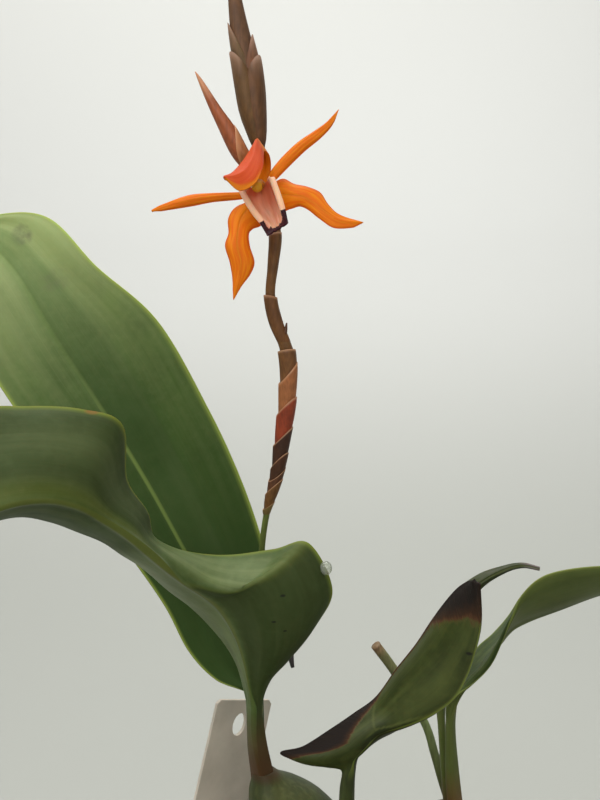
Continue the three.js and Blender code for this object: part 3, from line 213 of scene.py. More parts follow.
# Slim leaf that shows little more than its withered point
SLIM_LEAF = [
    [[19.2, 22.5, 109.6], [18.2, 23.2, 109.6], [20.2, 23.2, 109.6]],
    [[18.2, 22.6, 120.0], [17.4, 23.3, 120.0], [19.0, 23.3, 120.0]],
    [[17.4, 22.5, 131.0], [16.7, 23.3, 131.0], [18.2, 23.3, 131.0]],
    [[17.3, 21.8, 140.6], [15.1, 23.2, 140.6], [19.3, 23.2, 140.4], [0, -0.3, 0], [0, -0.3, 0]],
    [[18.0, 20.6, 150.0], [14.8, 23.0, 150.0], [21.4, 23.0, 149.4], [0, -0.5, 0], [0, -0.5, 0]],
    [[20.7, 19.4, 158.2], [18.8, 21.2, 159.0], [23.2, 21.4, 156.8], [0, -0.5, 0], [0, -0.5, 0]],
    [[25.0, 18.2, 163.4], [24.4, 19.6, 164.5], [25.9, 19.6, 162.2], [0, -0.3, 0], [0, -0.3, 0]],
    [[29.8, 17.2, 166.4], [29.6, 18.0, 167.1], [30.3, 18.0, 165.8]],
    [[33.7, 16.4, 167.7], [33.7, 16.9, 168.1], [33.9, 16.9, 167.3]],
    [[37.2, 15.4, 167.3], [37.2, 15.6, 167.6], [37.2, 15.6, 167.0]],
]

# Flower
DORSAL_SEPAL = [
    [[-21.0, -18.7, 238.2], [-20.3, -18.9, 238.3], [-21.7, -18.9, 238.3]],
    [[-20.8, -17.4, 241.6], [-19.8, -18.6, 241.8], [-22.3, -18.4, 241.4]],
    [[-20.9, -17.8, 244.2], [-20.0, -19.8, 243.4], [-22.3, -19.4, 243.2]],
    [[-21.8, -19.8, 245.8], [-20.7, -21.0, 243.6], [-22.5, -20.6, 243.9]],
    [[-22.0, -22.6, 243.9], [-20.7, -23.4, 241.6], [-22.9, -22.0, 243.2]],
    [[-22.2, -24.8, 241.1], [-20.7, -25.4, 239.3], [-23.7, -23.6, 241.2]],
    [[-23.1, -26.3, 238.7], [-21.7, -27.0, 236.4], [-24.8, -25.2, 239.1]],
    [[-24.5, -27.3, 237.4], [-24.0, -27.6, 235.1], [-25.5, -26.6, 237.9]],
    [[-26.3, -27.6, 237.0], [-26.1, -27.7, 236.8], [-26.4, -27.5, 237.2]],
]

LEFT_PETAL = [
    [[-22.7, -20.2, 237.2], [-22.7, -20.0, 237.7], [-22.7, -20.0, 236.7]],
    [[-24.6, -20.2, 236.9], [-24.6, -19.8, 237.4], [-24.6, -19.8, 236.3]],
    [[-29.1, -20.6, 236.5], [-29.1, -20.0, 237.2], [-29.0, -20.0, 235.8]],
    [[-32.5, -21.2, 235.8], [-32.8, -20.5, 236.7], [-32.2, -20.5, 235.0]],
    [[-36.0, -21.6, 234.7], [-36.3, -21.2, 235.2], [-35.6, -21.2, 234.2]],
    [[-38.4, -21.8, 233.8], [-38.5, -21.7, 234.0], [-38.3, -21.7, 233.6]],
]

RIGHT_PETAL = [
    [[-19.9, -20.6, 239.2], [-19.4, -20.5, 238.7], [-20.2, -20.5, 239.6]],
    [[-19.0, -21.0, 240.2], [-18.4, -20.8, 239.5], [-19.5, -20.8, 240.7]],
    [[-17.1, -21.3, 242.2], [-16.4, -20.9, 241.5], [-17.7, -20.9, 242.8]],
    [[-14.8, -21.5, 244.3], [-14.2, -21.0, 243.6], [-15.3, -21.0, 245.0]],
    [[-12.3, -21.7, 246.0], [-11.8, -21.4, 245.4], [-12.7, -21.4, 246.6]],
    [[-10.3, -22.0, 247.6], [-10.0, -21.8, 247.2], [-10.7, -21.8, 247.9]],
    [[-8.9, -22.0, 249.7], [-8.8, -22.0, 249.6], [-9.0, -22.0, 249.8]],
]

RIGHT_SEPAL = [
    [[-19.5, -19.2, 237.7], [-19.4, -19.0, 239.2], [-19.5, -19.1, 236.8]],
    [[-17.7, -19.6, 237.1], [-17.7, -19.2, 239.8], [-18.1, -19.2, 234.6], [0, -0.3, 0], [0, -0.3, 0]],
    [[-16.1, -20.4, 236.7], [-16.0, -19.4, 238.9], [-16.5, -20.0, 234.7], [0, -0.4, 0], [0, -0.3, 0]],
    [[-14.5, -21.0, 236.2], [-13.8, -20.6, 238.0], [-15.0, -20.4, 235.0], [0, -0.3, 0], [0, -0.3, 0]],
    [[-12.8, -21.4, 235.1], [-11.8, -20.6, 237.1], [-13.6, -21.0, 234.2], [0, -0.3, 0], [0, -0.2, 0]],
    [[-11.0, -21.8, 233.6], [-10.6, -21.2, 235.1], [-12.1, -21.6, 232.8], [0, -0.2, 0], [0, -0.2, 0]],
    [[-9.1, -22.0, 232.4], [-9.1, -21.6, 233.5], [-9.8, -22.2, 231.1]],
    [[-6.9, -21.6, 232.1], [-6.9, -21.3, 232.7], [-6.9, -21.7, 231.2]],
    [[-5.0, -21.0, 232.2], [-4.9, -21.0, 232.5], [-4.9, -21.0, 231.9]],
]

LEFT_SEPAL = [
    [[-22.2, -19.2, 236.2], [-21.6, -19.1, 235.9], [-22.9, -19.0, 236.3]],
    [[-23.7, -19.8, 234.4], [-21.1, -19.8, 232.4], [-25.4, -19.4, 235.1], [0, -0.3, 0], [0, -0.3, 0]],
    [[-24.6, -20.4, 232.5], [-22.6, -20.2, 231.4], [-26.5, -20.0, 233.1], [0, -0.3, 0], [0, -0.3, 0]],
    [[-24.9, -21.0, 230.2], [-23.2, -20.6, 230.4], [-26.4, -20.4, 230.7], [0, -0.3, 0], [0, -0.3, 0]],
    [[-24.9, -21.4, 228.2], [-23.0, -20.8, 228.4], [-26.9, -20.8, 228.6], [0, -0.3, 0], [0, -0.3, 0]],
    [[-24.3, -21.4, 226.0], [-22.3, -20.8, 226.0], [-26.2, -20.8, 226.1], [0, -0.3, 0], [0, -0.3, 0]],
    [[-24.5, -21.2, 224.1], [-22.9, -20.8, 224.1], [-25.8, -20.6, 223.9], [0, -0.2, 0], [0, -0.2, 0]],
    [[-25.1, -21.0, 222.0], [-24.4, -20.8, 222.0], [-25.7, -20.8, 222.0]],
    [[-25.6, -20.6, 220.0], [-25.3, -20.6, 220.0], [-25.9, -20.6, 220.0]],
]

# The lip is a trough whose side lobes stand towards the front
LIP = [
    [[-21.3, -20.4, 238.0], [-19.5, -22.3, 238.8], [-23.8, -22.3, 237.4]],
    [[-20.9, -20.7, 235.4], [-19.3, -23.6, 238.3], [-24.1, -23.4, 236.6], [0.6, 0.6, 0], [-0.6, 0.6, 0]],
    [[-20.1, -21.0, 233.8], [-18.2, -24.5, 235.0], [-22.3, -24.5, 233.3], [0.7, 0.6, 0], [-0.7, 0.6, 0]],
    [[-19.3, -22.0, 232.1], [-17.6, -24.7, 233.1], [-21.0, -24.7, 231.5], [0.5, 0.5, 0], [-0.5, 0.5, 0]],
    [[-18.7, -23.3, 230.8], [-17.1, -24.9, 231.8], [-20.3, -24.9, 229.9], [0.2, 0.3, 0], [-0.2, 0.3, 0]],
    [[-18.4, -24.4, 230.1], [-16.8, -25.2, 231.0], [-20.0, -25.2, 229.0]],
]

# Rods, each point [x, y, z, radius]
COLUMN_KNOTS = [
    [-21.1, -19.4, 238.0, 0.85],
    [-21.2, -20.6, 238.3, 0.7],
    [-21.4, -21.8, 238.0, 0.85],
    [-21.6, -22.6, 237.5, 0.85],
    [-21.7, -23.3, 237.1, 0.82],
    [-21.7, -23.8, 236.8, 0.4],
]

PEDICEL_KNOTS = [
    [-20.3, -14.6, 237.5, 0.7],
    [-20.7, -16.4, 237.8, 0.75],
    [-21.0, -17.8, 237.9, 0.85],
    [-21.1, -19.0, 238.0, 0.9],
]

THORN_KNOTS = [
    [-18.3, -11.6, 214.6, 0.5],
    [-17.6, -11.9, 215.8, 0.38],
    [-17.3, -12.0, 217.4, 0.12],
]

DRY_SCALE_KNOTS = [
    [-22.7, 0.3, 157.0, 0.5],
    [-20.0, 1.2, 158.4, 0.6],
    [-17.4, 0.6, 156.3, 0.8],
    [-16.4, -0.2, 152.5, 0.35],
]

OLD_STALK_KNOTS = [
    [20.0, 26.0, 109.6, 1.0],
    [18.4, 26.2, 114.6, 1.0],
    [16.6, 26.3, 121.0, 1.0],
    [14.1, 25.8, 128.6, 0.95],
    [7.4, 24.3, 140.4, 1.1],
    [2.4, 23.2, 147.6, 1.15],
]

RHIZOME_KNOTS = [
    [6.0, -27.0, 77.2, 1.6],
    [2.6, -19.4, 78.0, 2.9],
    [-3.0, -5.0, 77.6, 2.5],
    [-7.6, 9.4, 78.0, 2.9],
    [8.0, 15.5, 77.6, 2.5],
    [23.4, 18.0, 78.0, 2.8],
    [30.0, 19.0, 77.0, 1.6],
]

ROOTS = [
    [[2.6, -19.4, 77.0, 1.1], [5.0, -21.0, 66.0, 0.9], [12.0, -24.0, 48.0, 0.8], [16.0, -22.0, 28.0, 0.6]],
    [[-3.0, -5.0, 77.0, 1.1], [-7.0, -9.0, 66.0, 0.9], [-16.0, -15.0, 46.0, 0.8], [-15.0, -20.0, 24.0, 0.6]],
    [[-7.6, 9.4, 77.0, 1.1], [-14.0, 13.0, 66.0, 0.9], [-22.0, 20.0, 50.0, 0.8], [-20.0, 22.0, 30.0, 0.6]],
    [[8.0, 15.5, 77.0, 1.1], [7.0, 20.0, 64.0, 0.9], [3.0, 27.0, 46.0, 0.8], [5.0, 26.0, 24.0, 0.6]],
    [[23.4, 18.0, 77.0, 1.1], [28.0, 15.0, 66.0, 0.9], [30.0, 6.0, 50.0, 0.8], [27.0, 2.0, 32.0, 0.6]],
]

# Upright stems, each row [height, x, y, radius]
STEM = [
    [132.1, -22.7, 1.3, 0.6],
    [150.0, -22.8, 0.7, 0.6],
    [164.0, -22.7, -0.6, 0.58],
    [176.0, -22.2, -2.0, 0.58],
    [183.0, -21.2, -3.0, 0.62],
    [187.0, -20.1, -3.9, 0.86],
    [191.0, -19.1, -4.7, 1.0],
    [197.0, -18.2, -6.2, 1.15],
    [204.0, -17.3, -8.2, 1.25],
    [212.4, -17.3, -10.4, 1.2],
    [217.5, -19.2, -11.8, 1.08],
    [222.0, -20.1, -13.0, 0.84],
    [227.0, -19.6, -13.9, 0.92],
    [232.0, -19.2, -14.4, 1.0],
    [238.8, -20.1, -14.2, 0.9],
    [246.0, -21.9, -14.9, 0.9],
]

SPIKE = [
    [245.6, -21.85, -14.87, 0.88],
    [248.8, -22.3, -15.2, 1.45],
    [252.0, -22.9, -15.5, 1.9],
    [256.2, -23.4, -15.5, 2.05],
    [261.3, -24.15, -15.5, 1.95],
    [264.8, -24.9, -15.5, 1.72],
    [271.2, -25.9, -15.5, 1.18],
    [275.6, -26.3, -15.5, 0.82],
    [278.8, -26.5, -15.5, 0.45],
]

SIDE_BUD = [
    [239.2, -20.5, -14.6, 0.55],
    [241.0, -22.4, -16.4, 0.8],
    [243.1, -24.0, -18.0, 1.5],
    [244.8, -25.1, -18.5, 1.6],
    [248.2, -26.9, -19.0, 1.42],
    [251.0, -28.6, -19.4, 1.02],
    [254.3, -30.4, -19.5, 0.6],
    [256.0, -31.3, -19.5, 0.34],
    [257.0, -31.9, -19.5, 0.1],
]

BULB_FRONT_LEFT = [
    [81.2, -7.6, 9.4, 3.2],
    [84.0, -8.0, 9.2, 6.6],
    [90.0, -8.9, 8.6, 9.2],
    [100.0, -10.4, 7.2, 10.4],
    [110.0, -12.4, 5.6, 10.3],
    [118.0, -14.5, 4.2, 9.9],
    [124.2, -17.1, 3.0, 8.0],
    [127.6, -19.4, 2.4, 5.7],
    [129.9, -21.2, 1.9, 3.4],
    [131.8, -22.2, 1.4, 2.2],
]

BULB_FRONT_RIGHT = [
    [81.2, 2.6, -19.4, 3.2],
    [84.0, 2.3, -19.3, 6.0],
    [90.0, 1.4, -19.1, 8.4],
    [100.0, -0.9, -18.6, 9.4],
    [110.0, -3.4, -18.0, 9.1],
    [119.0, -5.6, -17.2, 7.4],
    [124.6, -6.9, -16.7, 5.0],
    [128.0, -7.6, -16.3, 2.5],
]

BULB_BACK_RIGHT = [
    [81.2, 23.4, 18.0, 3.0],
    [83.6, 23.2, 18.2, 5.8],
    [88.0, 22.6, 18.9, 8.0],
    [94.0, 21.6, 20.2, 8.8],
    [100.0, 20.6, 21.4, 8.2],
    [105.4, 19.9, 22.3, 6.4],
    [109.3, 19.6, 22.7, 5.0],
]

# Scales that wrap a stem, each [foot, highest point, dip of the rim, side it rises on, stand-off]; a sixth
# value of 1 makes a scale that stands off round its tip alone and melts into the stem elsewhere
STEM_SCALES = [
    [182.4, 185.0, 1.6, 10, 0.3],
    [183.4, 189.4, 3.0, -10, 0.42],
    [186.0, 191.6, 2.6, 25, 0.4],
    [188.0, 194.4, 3.4, -25, 0.44],
    [190.6, 199.2, 3.6, 0, 0.48],
    [194.8, 204.6, 3.6, -15, 0.5],
    [200.2, 210.8, 4.0, 10, 0.5],
    [205.4, 212.9, 0.5, -30, 0.45],
    [213.6, 222.0, 0.4, 180, 0.34],
    [225.0, 232.4, 0.4, 0, 0.14],
]

SPIKE_SCALES = [
    [249.0, 267.2, 14.0, 185, 0.36, 1],
    [248.0, 265.2, 12.0, -5, 0.44, 1],
    [246.4, 262.0, 9.0, 195, 0.68, 1],
    [246.4, 261.4, 9.0, -15, 0.74, 1],
]

SIDE_BUD_SCALE = [241.4, 248.6, 6.9, 0, 0.16]


# Numbers and curves


def linear(code):
    """An sRGB hex colour as linear light, with full alpha."""
    parts = [int(code[i : i + 2], 16) / 255 for i in (1, 3, 5)]
    light = [p / 12.92 if p <= 0.04045 else ((p + 0.055) / 1.055) ** 2.4 for p in parts]
    return (*light, 1.0)


def ease(value, low, high):
    """0 below low, 1 above high, and smooth between them."""
    share = np.clip((value - low) / (high - low), 0, 1)
    return share * share * (3 - 2 * share)


def per_metre(millimetres):
    """A texture scale for a pattern of that size."""
    return 1 / (millimetres * MM)


def curve(points, steps):
    """A Catmull-Rom curve through the points, read at steps + 1 even places."""
    p = np.array(points, float)
    p = np.vstack([2 * p[0] - p[1], p, 2 * p[-1] - p[-2]])
    place = np.linspace(0, len(p) - 3, steps + 1)
    i = np.minimum(place.astype(int), len(p) - 4)
    t = (place - i)[:, None]
    a, b, c, d = (p[i + k] for k in range(4))
    return 0.5 * (2 * b + (c - a) * t + (2 * a - 5 * b + 4 * c - d) * t**2 + (3 * b - a - 3 * c + d) * t**3)


def along_rows(rows, places):
    """Smooth values through rows of numbers at places, the first number of a row being its place."""
    table = np.array(rows, float)
    last = len(table) - 1
    i = np.clip(np.searchsorted(table[:, 0], places, side="left") - 1, 0, last - 1)
    here, after = table[i], table[i + 1]
    before, beyond = table[np.maximum(i - 1, 0)], table[np.minimum(i + 2, last)]
    span = (after[..., 0] - here[..., 0])[..., None]
    t = np.clip((np.asarray(places)[..., None] - here[..., :1]) / span, 0, 1)
    rise = (after - before) / (after[..., :1] - before[..., :1]) * span
    fall = (beyond - here) / (beyond[..., :1] - here[..., :1]) * span
    h1 = 2 * t**3 - 3 * t**2 + 1
    return h1 * here + (t**3 - 2 * t**2 + t) * rise + (1 - h1) * after + (t**3 - t**2) * fall


def unit(vectors):
    """The same directions, each of length 1."""
    return vectors / np.maximum(np.linalg.norm(vectors, axis=-1, keepdims=True), 1e-12)


def ring_turns(sides):
    """Even angles all round."""
    return np.arange(sides) * 2 * np.pi / sides


# Meshes


def mesh_piece(name, points, faces, marks=None):
    """A smooth mesh object in metres; marks are values that its finish reads at each point."""
    mesh = bpy.data.meshes.new(name)
    mesh.from_pydata(np.asarray(points).tolist(), [], faces)
    for mark, values in (marks or {}).items():
        layer = mesh.attributes.new(mark, "FLOAT", "POINT")
        layer.data.foreach_set("value", np.ascontiguousarray(values, np.float32).ravel())
    mesh.polygons.foreach_set("use_smooth", np.ones(len(mesh.polygons), bool))
    mesh.update()
    piece = bpy.data.objects.new(name, mesh)
    bpy.context.scene.collection.objects.link(piece)
    return piece


def sealed(piece):
    """Turns every face outward."""
    shape = bmesh.new()
    shape.from_mesh(piece.data)
    bmesh.ops.recalc_face_normals(shape, faces=shape.faces)
    shape.to_mesh(piece.data)
    shape.free()


def finish_piece(piece, material, slot, *nodes):
    """Seals a piece, gives it its finish and says which solids it stands for."""
    sealed(piece)
    piece.data.materials.append(material)
    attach(piece, "root")
    if nodes:
        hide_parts(*nodes)


def ring_faces(rings, around):
    """Quads between rings of points."""
    faces = []
    for i in range(rings - 1):
        for j in range(around):
            a = i * around + j
            b = i * around + (j + 1) % around
            faces.append((a, b, b + around, a + around))
    return faces


def lofted(rings):
    """Points and faces of a closed skin over rings of points, with a hub at each end."""
    rings = np.asarray(rings)
    count, around = rings.shape[:2]
    points = np.vstack([rings.reshape(-1, 3), rings[0].mean(0), rings[-1].mean(0)])
    faces = ring_faces(count, around)
    start, end = count * around, count * around + 1
    last = (count - 1) * around
    for j in range(around):
        k = (j + 1) % around
        faces.append((start, k, j))
        faces.append((end, last + j, last + k))
    return points, faces


def joined(parts):
    """Several (points, faces, marks) as one."""
    points, faces, marks, offset = [], [], {}, 0
    for part_points, part_faces, part_marks in parts:
        points.append(part_points)
        faces.extend(tuple(v + offset for v in face) for face in part_faces)
        for mark, values in part_marks.items():
            marks.setdefault(mark, []).append(np.asarray(values, float).ravel())
        offset += len(part_points)
    return np.vstack(points), faces, {mark: np.concatenate(values) for mark, values in marks.items()}


def joined_piece(name, parts, material, slot, *nodes):
    """Several (points, faces, marks) as one finished piece."""
    piece = mesh_piece(name, *joined(parts))
    finish_piece(piece, material, slot, *nodes)
    return piece


# Blades


def blade_grid(stations, rows, half):
    """Points of a blade in metres, with its places along and across, closer at the rib and the margins."""
    none = (0, 0, 0)
    rib, right, left = (np.array([s[k] for s in stations], float) for k in range(3))
    right_off = np.array([s[3] if len(s) > 3 else none for s in stations], float)
    left_off = np.array([s[4] if len(s) > 4 else none for s in stations], float)
    rails = [left, (rib + left) / 2 + left_off, rib, (rib + right) / 2 + right_off, right]
    left, left_belly, rib, right_belly, right = (curve(r, rows)[:, None, :] for r in rails)
    steps = 0.5 - 0.5 * np.cos(np.pi * np.arange(half + 1) / half)
    across = np.concatenate([-steps[:0:-1], steps])
    w = np.abs(across)[None, :, None]
    on_left = (across < 0)[None, :, None]
    belly = np.where(on_left, left_belly, right_belly)
    edge = np.where(on_left, left, right)
    grid = rib * (1 - w) * (1 - 2 * w) + belly * 4 * w * (1 - w) + edge * w * (2 * w - 1)
    return grid * MM, np.linspace(0, 1, rows + 1)[:, None] + 0 * across, across + np.zeros((rows + 1, 1))


def sheet_piece(name, grid, front, back, marks, up=1.0):
    """A closed sheet, its faces front and back off the grid in metres; up is 1 where the front is upper."""
    rows, columns = grid.shape[:2]
    normal = unit(np.cross(np.gradient(grid, axis=0), np.gradient(grid, axis=1)))
    faces_off = (grid + normal * front[..., None], grid - normal * back[..., None])
    points = np.vstack([face.reshape(-1, 3) for face in faces_off])
    size = rows * columns
    corner = (np.arange(rows - 1)[:, None] * columns + np.arange(columns - 1)).ravel()
    a, b, c, d = corner, corner + 1, corner + columns + 1, corner + columns
    faces = np.vstack([np.stack([a, b, c, d], 1), np.stack([d, c, b, a], 1) + size]).tolist()
    ring = [i * columns for i in range(rows)]
    ring += [(rows - 1) * columns + j for j in range(1, columns)]
    ring += [i * columns + columns - 1 for i in range(rows - 2, -1, -1)]
    ring += list(range(columns - 2, 0, -1))
    for k, here in enumerate(ring):
        there = ring[(k + 1) % len(ring)]
        faces.append([here, there, there + size, here + size])
    both = {mark: np.concatenate([values.ravel(), values.ravel()]) for mark, values in marks.items()}
    both["upper"] = np.repeat([up, 1 - up], size)
    return mesh_piece(name, points, faces, both)


# Stems and rods


def rod_rings(knots, rows, sides):
    """Rings of a rod along points, each point [x, y, z, radius], in metres."""
    line = curve([k[:3] for k in knots], rows)
    spread = np.linspace(0, 1, len(knots))
    radius = along_rows([[s, k[3]] for s, k in zip(spread, knots)], np.linspace(0, 1, rows + 1))[:, 1]
    whole = unit(line[-1] - line[0])
    side = np.array((0.0, 1.0, 0.0) if abs(whole[2]) > 0.6 else (0.0, 0.0, 1.0))
    run = unit(np.gradient(line, axis=0))
    x = unit(np.cross(side, run))
    y = np.cross(run, x)
    turn = ring_turns(sides)
    ring = x[:, None] * np.cos(turn)[:, None] + y[:, None] * np.sin(turn)[:, None]
    return (line[:, None] + ring * radius[:, None, None]) * MM


def rod_part(knots, rows, sides, tone=0.0, swell=None):
    """A rod as points, faces and marks; swell maps places 0 to 1 to a radius factor."""
    rings = rod_rings(knots, rows, sides)
    place = np.linspace(0, 1, rows + 1)
    if swell is not None:
        middle = rings.mean(1, keepdims=True)
        rings = middle + (rings - middle) * swell(place)[:, None, None]
    points, faces = lofted(rings)
    here = np.concatenate([np.repeat(place, sides), [0, 1]])
    return points, faces, {"along": here, "tone": 0 * here + tone, "rim": 0 * here}


def upright_rings(rows, share, sides, rib_depth=0.0):
    """Rings of an upright stem from rows [height, x, y, radius], at shares of its height, in metres."""
    first, last = rows[0][0], rows[-1][0]
    height, x, y, radius = along_rows(rows, first + (last - first) * share).T[..., None]
    turn = ring_turns(sides)
    reach = radius * (1 + rib_depth * np.sin(np.pi * share)[:, None] * np.cos(BULB_RIBS * turn))
    return np.stack([x + reach * np.cos(turn), y + reach * np.sin(turn), height + 0 * turn], -1) * MM


def stem_part(rows, steps, sides, tone):
    """An upright stem as points, faces and marks."""
    place = np.linspace(0, 1, steps + 1)
    points, faces = lofted(upright_rings(rows, place, sides))
    here = np.concatenate([np.repeat(place, sides), [0, 1]])
    return points, faces, {"along": here, "tone": 0 * here + tone, "rim": 0 * here}


def sheath_part(rows, row, sides, tone):
    """One wrapping scale: a thin sleeve whose slanting rim stands a little off the stem."""
    foot, top, dip, side, stand, *melt = row
    turn = ring_turns(sides)
    faced = np.cos(turn - math.radians(side))
    lift = 1 - sum(melt) * (1 - ease(faced, -0.1, 0.75))
    rim = top - dip * (1 - faced) / 2
    # From the foot up, then over the rim and a little way down inside
    places = [(s, 1.0, 0.0) for s in np.linspace(0, 1, SCALE_STEPS + 1)]
    places += [(1.0, 1.0, -SCALE_PAPER), (1 - 0.6 / SCALE_STEPS, 0.9, -2 * SCALE_PAPER)]
    rings, marks = [], []
    for s, mark, inward in places:
        height = foot + (rim - foot) * s
        _, x, y, radius = along_rows(rows, height).T
        reach = radius - SCALE_TUCK + (stand + SCALE_TUCK) * math.sqrt(s) * lift + inward
        rings.append(np.stack([x + reach * np.cos(turn), y + reach * np.sin(turn), height], -1))
        marks.append(s * mark)
    points, faces = lofted(np.array(rings) * MM)
    here = np.concatenate([np.outer(marks, lift).ravel(), [0, 0.5]])
    return points, faces, {"along": here, "tone": 0 * here + tone, "rim": here}


def bulb_part(rows, steps, sides):
    """A swollen stem with soft ribs, its rings closer at the ends."""
    share = 0.5 - 0.5 * np.cos(np.pi * np.arange(steps + 1) / steps)
    points, faces = lofted(upright_rings(rows, share, sides, BULB_RIB_SHARE))
    return points, faces, {"along": np.concatenate([np.repeat(share, sides), [0, 1]])}


# Finishes


def add(tree, kind, links=None, stops=None, out=0, **settings):
    """Adds a node with its links or values, a ramp's stops and its settings; returns one of its outputs."""
    node = tree.nodes.new("ShaderNode" + kind)
    for name, value in settings.items():
        setattr(node, name, value)
    for socket, value in (links or {}).items():
        if isinstance(value, bpy.types.NodeSocket):
            tree.links.new(value, node.inputs[socket])
        else:
            node.inputs[socket].default_value = value
    if stops:
        ramp = node.color_ramp
        while len(ramp.elements) < len(stops):
            ramp.elements.new(1.0)
        for element, (place, tint) in zip(ramp.elements, stops):
            element.position = place
            element.color = as_colour(tint)
    return node.outputs[out]


def as_colour(tint):
    """A hex code, a level of grey or three numbers as a colour; a socket stays as it is."""
    if isinstance(tint, str):
        return linear(tint)
    if isinstance(tint, (int, float)):
        return (tint, tint, tint, 1.0)
    return tint if isinstance(tint, bpy.types.NodeSocket) else (*tint, 1.0)


def finish(name, roughness, **sockets):
    """A new material and its shader, with what is the same all over set on the shader's own sockets."""
    material = bpy.data.materials.new(name)
    material.use_nodes = True
    shader = material.node_tree.nodes["Principled BSDF"]
    shader.inputs["Roughness"].default_value = roughness
    for socket, value in sockets.items():
        shader.inputs[socket.replace("_", " ")].default_value = value
    return material, material.node_tree, shader


def readings(tree, *marks):
    """What a finish reads at each point: its place on the object, then its marks."""
    place = add(tree, "TexCoord", out=3)
    return [place] + [add(tree, "Attribute", attribute_name=mark, out=2) for mark in marks]


def spot_tints(tree, place, spots, squash=(1.0, 1.0, 1.0)):
    """The share and tint of each small soft spot [centre, its solid radius, its whole radius, tint]."""
    tints = []
    for centre, solid, reach, tint in spots:
        away = add(tree, "VectorMath", {0: place, 1: [v * MM for v in centre]}, operation="SUBTRACT")
        drawn = add(tree, "VectorMath", {0: away, 1: squash}, operation="MULTIPLY")
        gap = add(tree, "VectorMath", {0: drawn}, operation="LENGTH", out=1)
        fade = {"From Min": solid * MM, "From Max": reach * MM, "To Min": SPOT_SHARE, "To Max": 0.0}
        tints.append((add(tree, "MapRange", {"Value": gap, **fade}), tint))
    return tints


def coat(tree, shader, base, tints, relief, strength, depth):
    """Lays tints over a base, each (share, colour, maybe a blend), and adds fine relief, its depth in mm."""
    colour = as_colour(base)
    for share, tint, *blend in tints:
        kind = {"data_type": "RGBA", "blend_type": blend[0] if blend else "MIX"}
        colour = add(tree, "Mix", {0: share, MIX_A: colour, MIX_B: as_colour(tint)}, out=MIX_RESULT, **kind)
    tree.links.new(colour, shader.inputs["Base Color"])
    bump = add(tree, "Bump", {"Strength": strength, "Distance": depth * MM, "Height": relief})
    tree.links.new(bump, shader.inputs["Normal"])


def scorched(tree, place, along, across, stain, roughness):
    """Scorched tissue: a yellow-brown halo, then red-brown, then dry brown-black with cross cracks."""
    ragged = add(tree, "TexNoise", {"Vector": place, "Scale": per_metre(1.8), "Detail": 5.0})
    rows = add(tree, "CombineXYZ", {"X": along, "Y": across})
    ranks = add(tree, "VectorMath", {0: rows, 1: (150.0, 4.0, 1.0)}, operation="MULTIPLY")
    crack = add(tree, "TexNoise", {"Vector": ranks, "Scale": 1.0, "Detail": 2.0})
    both = add(tree, "Math", {0: ragged, 1: crack}, operation="ADD")
    rough = add(tree, "Math", {0: both, 1: 0.35, 2: -0.35}, operation="MULTIPLY_ADD")
    heat = add(tree, "Math", {0: stain, 1: rough}, operation="ADD")
    browns = [(0.24, "#4e4a20"), (0.40, "#462b15"), (0.54, "#33200f"), (0.95, "#19110b")]
    dead = add(tree, "ValToRGB", {"Fac": heat}, [(0.16, 0), (0.36, 1)])
    dull = add(tree, "ValToRGB", {"Fac": heat}, [(0.3, roughness), (0.5, 0.8)])
    cracks = add(tree, "Math", {0: dead, 1: crack}, operation="MULTIPLY")
    return (dead, add(tree, "ValToRGB", {"Fac": heat}, browns)), cracks, dull


def bruised(tree, cloud, grain, stain, shade, roughness):
    """A faint dark bruise where a leaf has one, and less gloss where it is shaded."""
    patch = add(tree, "Math", {0: stain, 1: grain}, operation="MULTIPLY")
    share = add(tree, "ValToRGB", {"Fac": patch}, [(0.18, 0), (0.6, 0.8)])
    gloss = add(tree, "ValToRGB", {"Fac": cloud}, [(0.3, roughness - 0.05), (0.7, roughness + 0.08)])
    dull = add(tree, "Math", {0: shade, 1: 0.3, 2: gloss}, operation="MULTIPLY_ADD")
    return (share, "#44442e"), dull


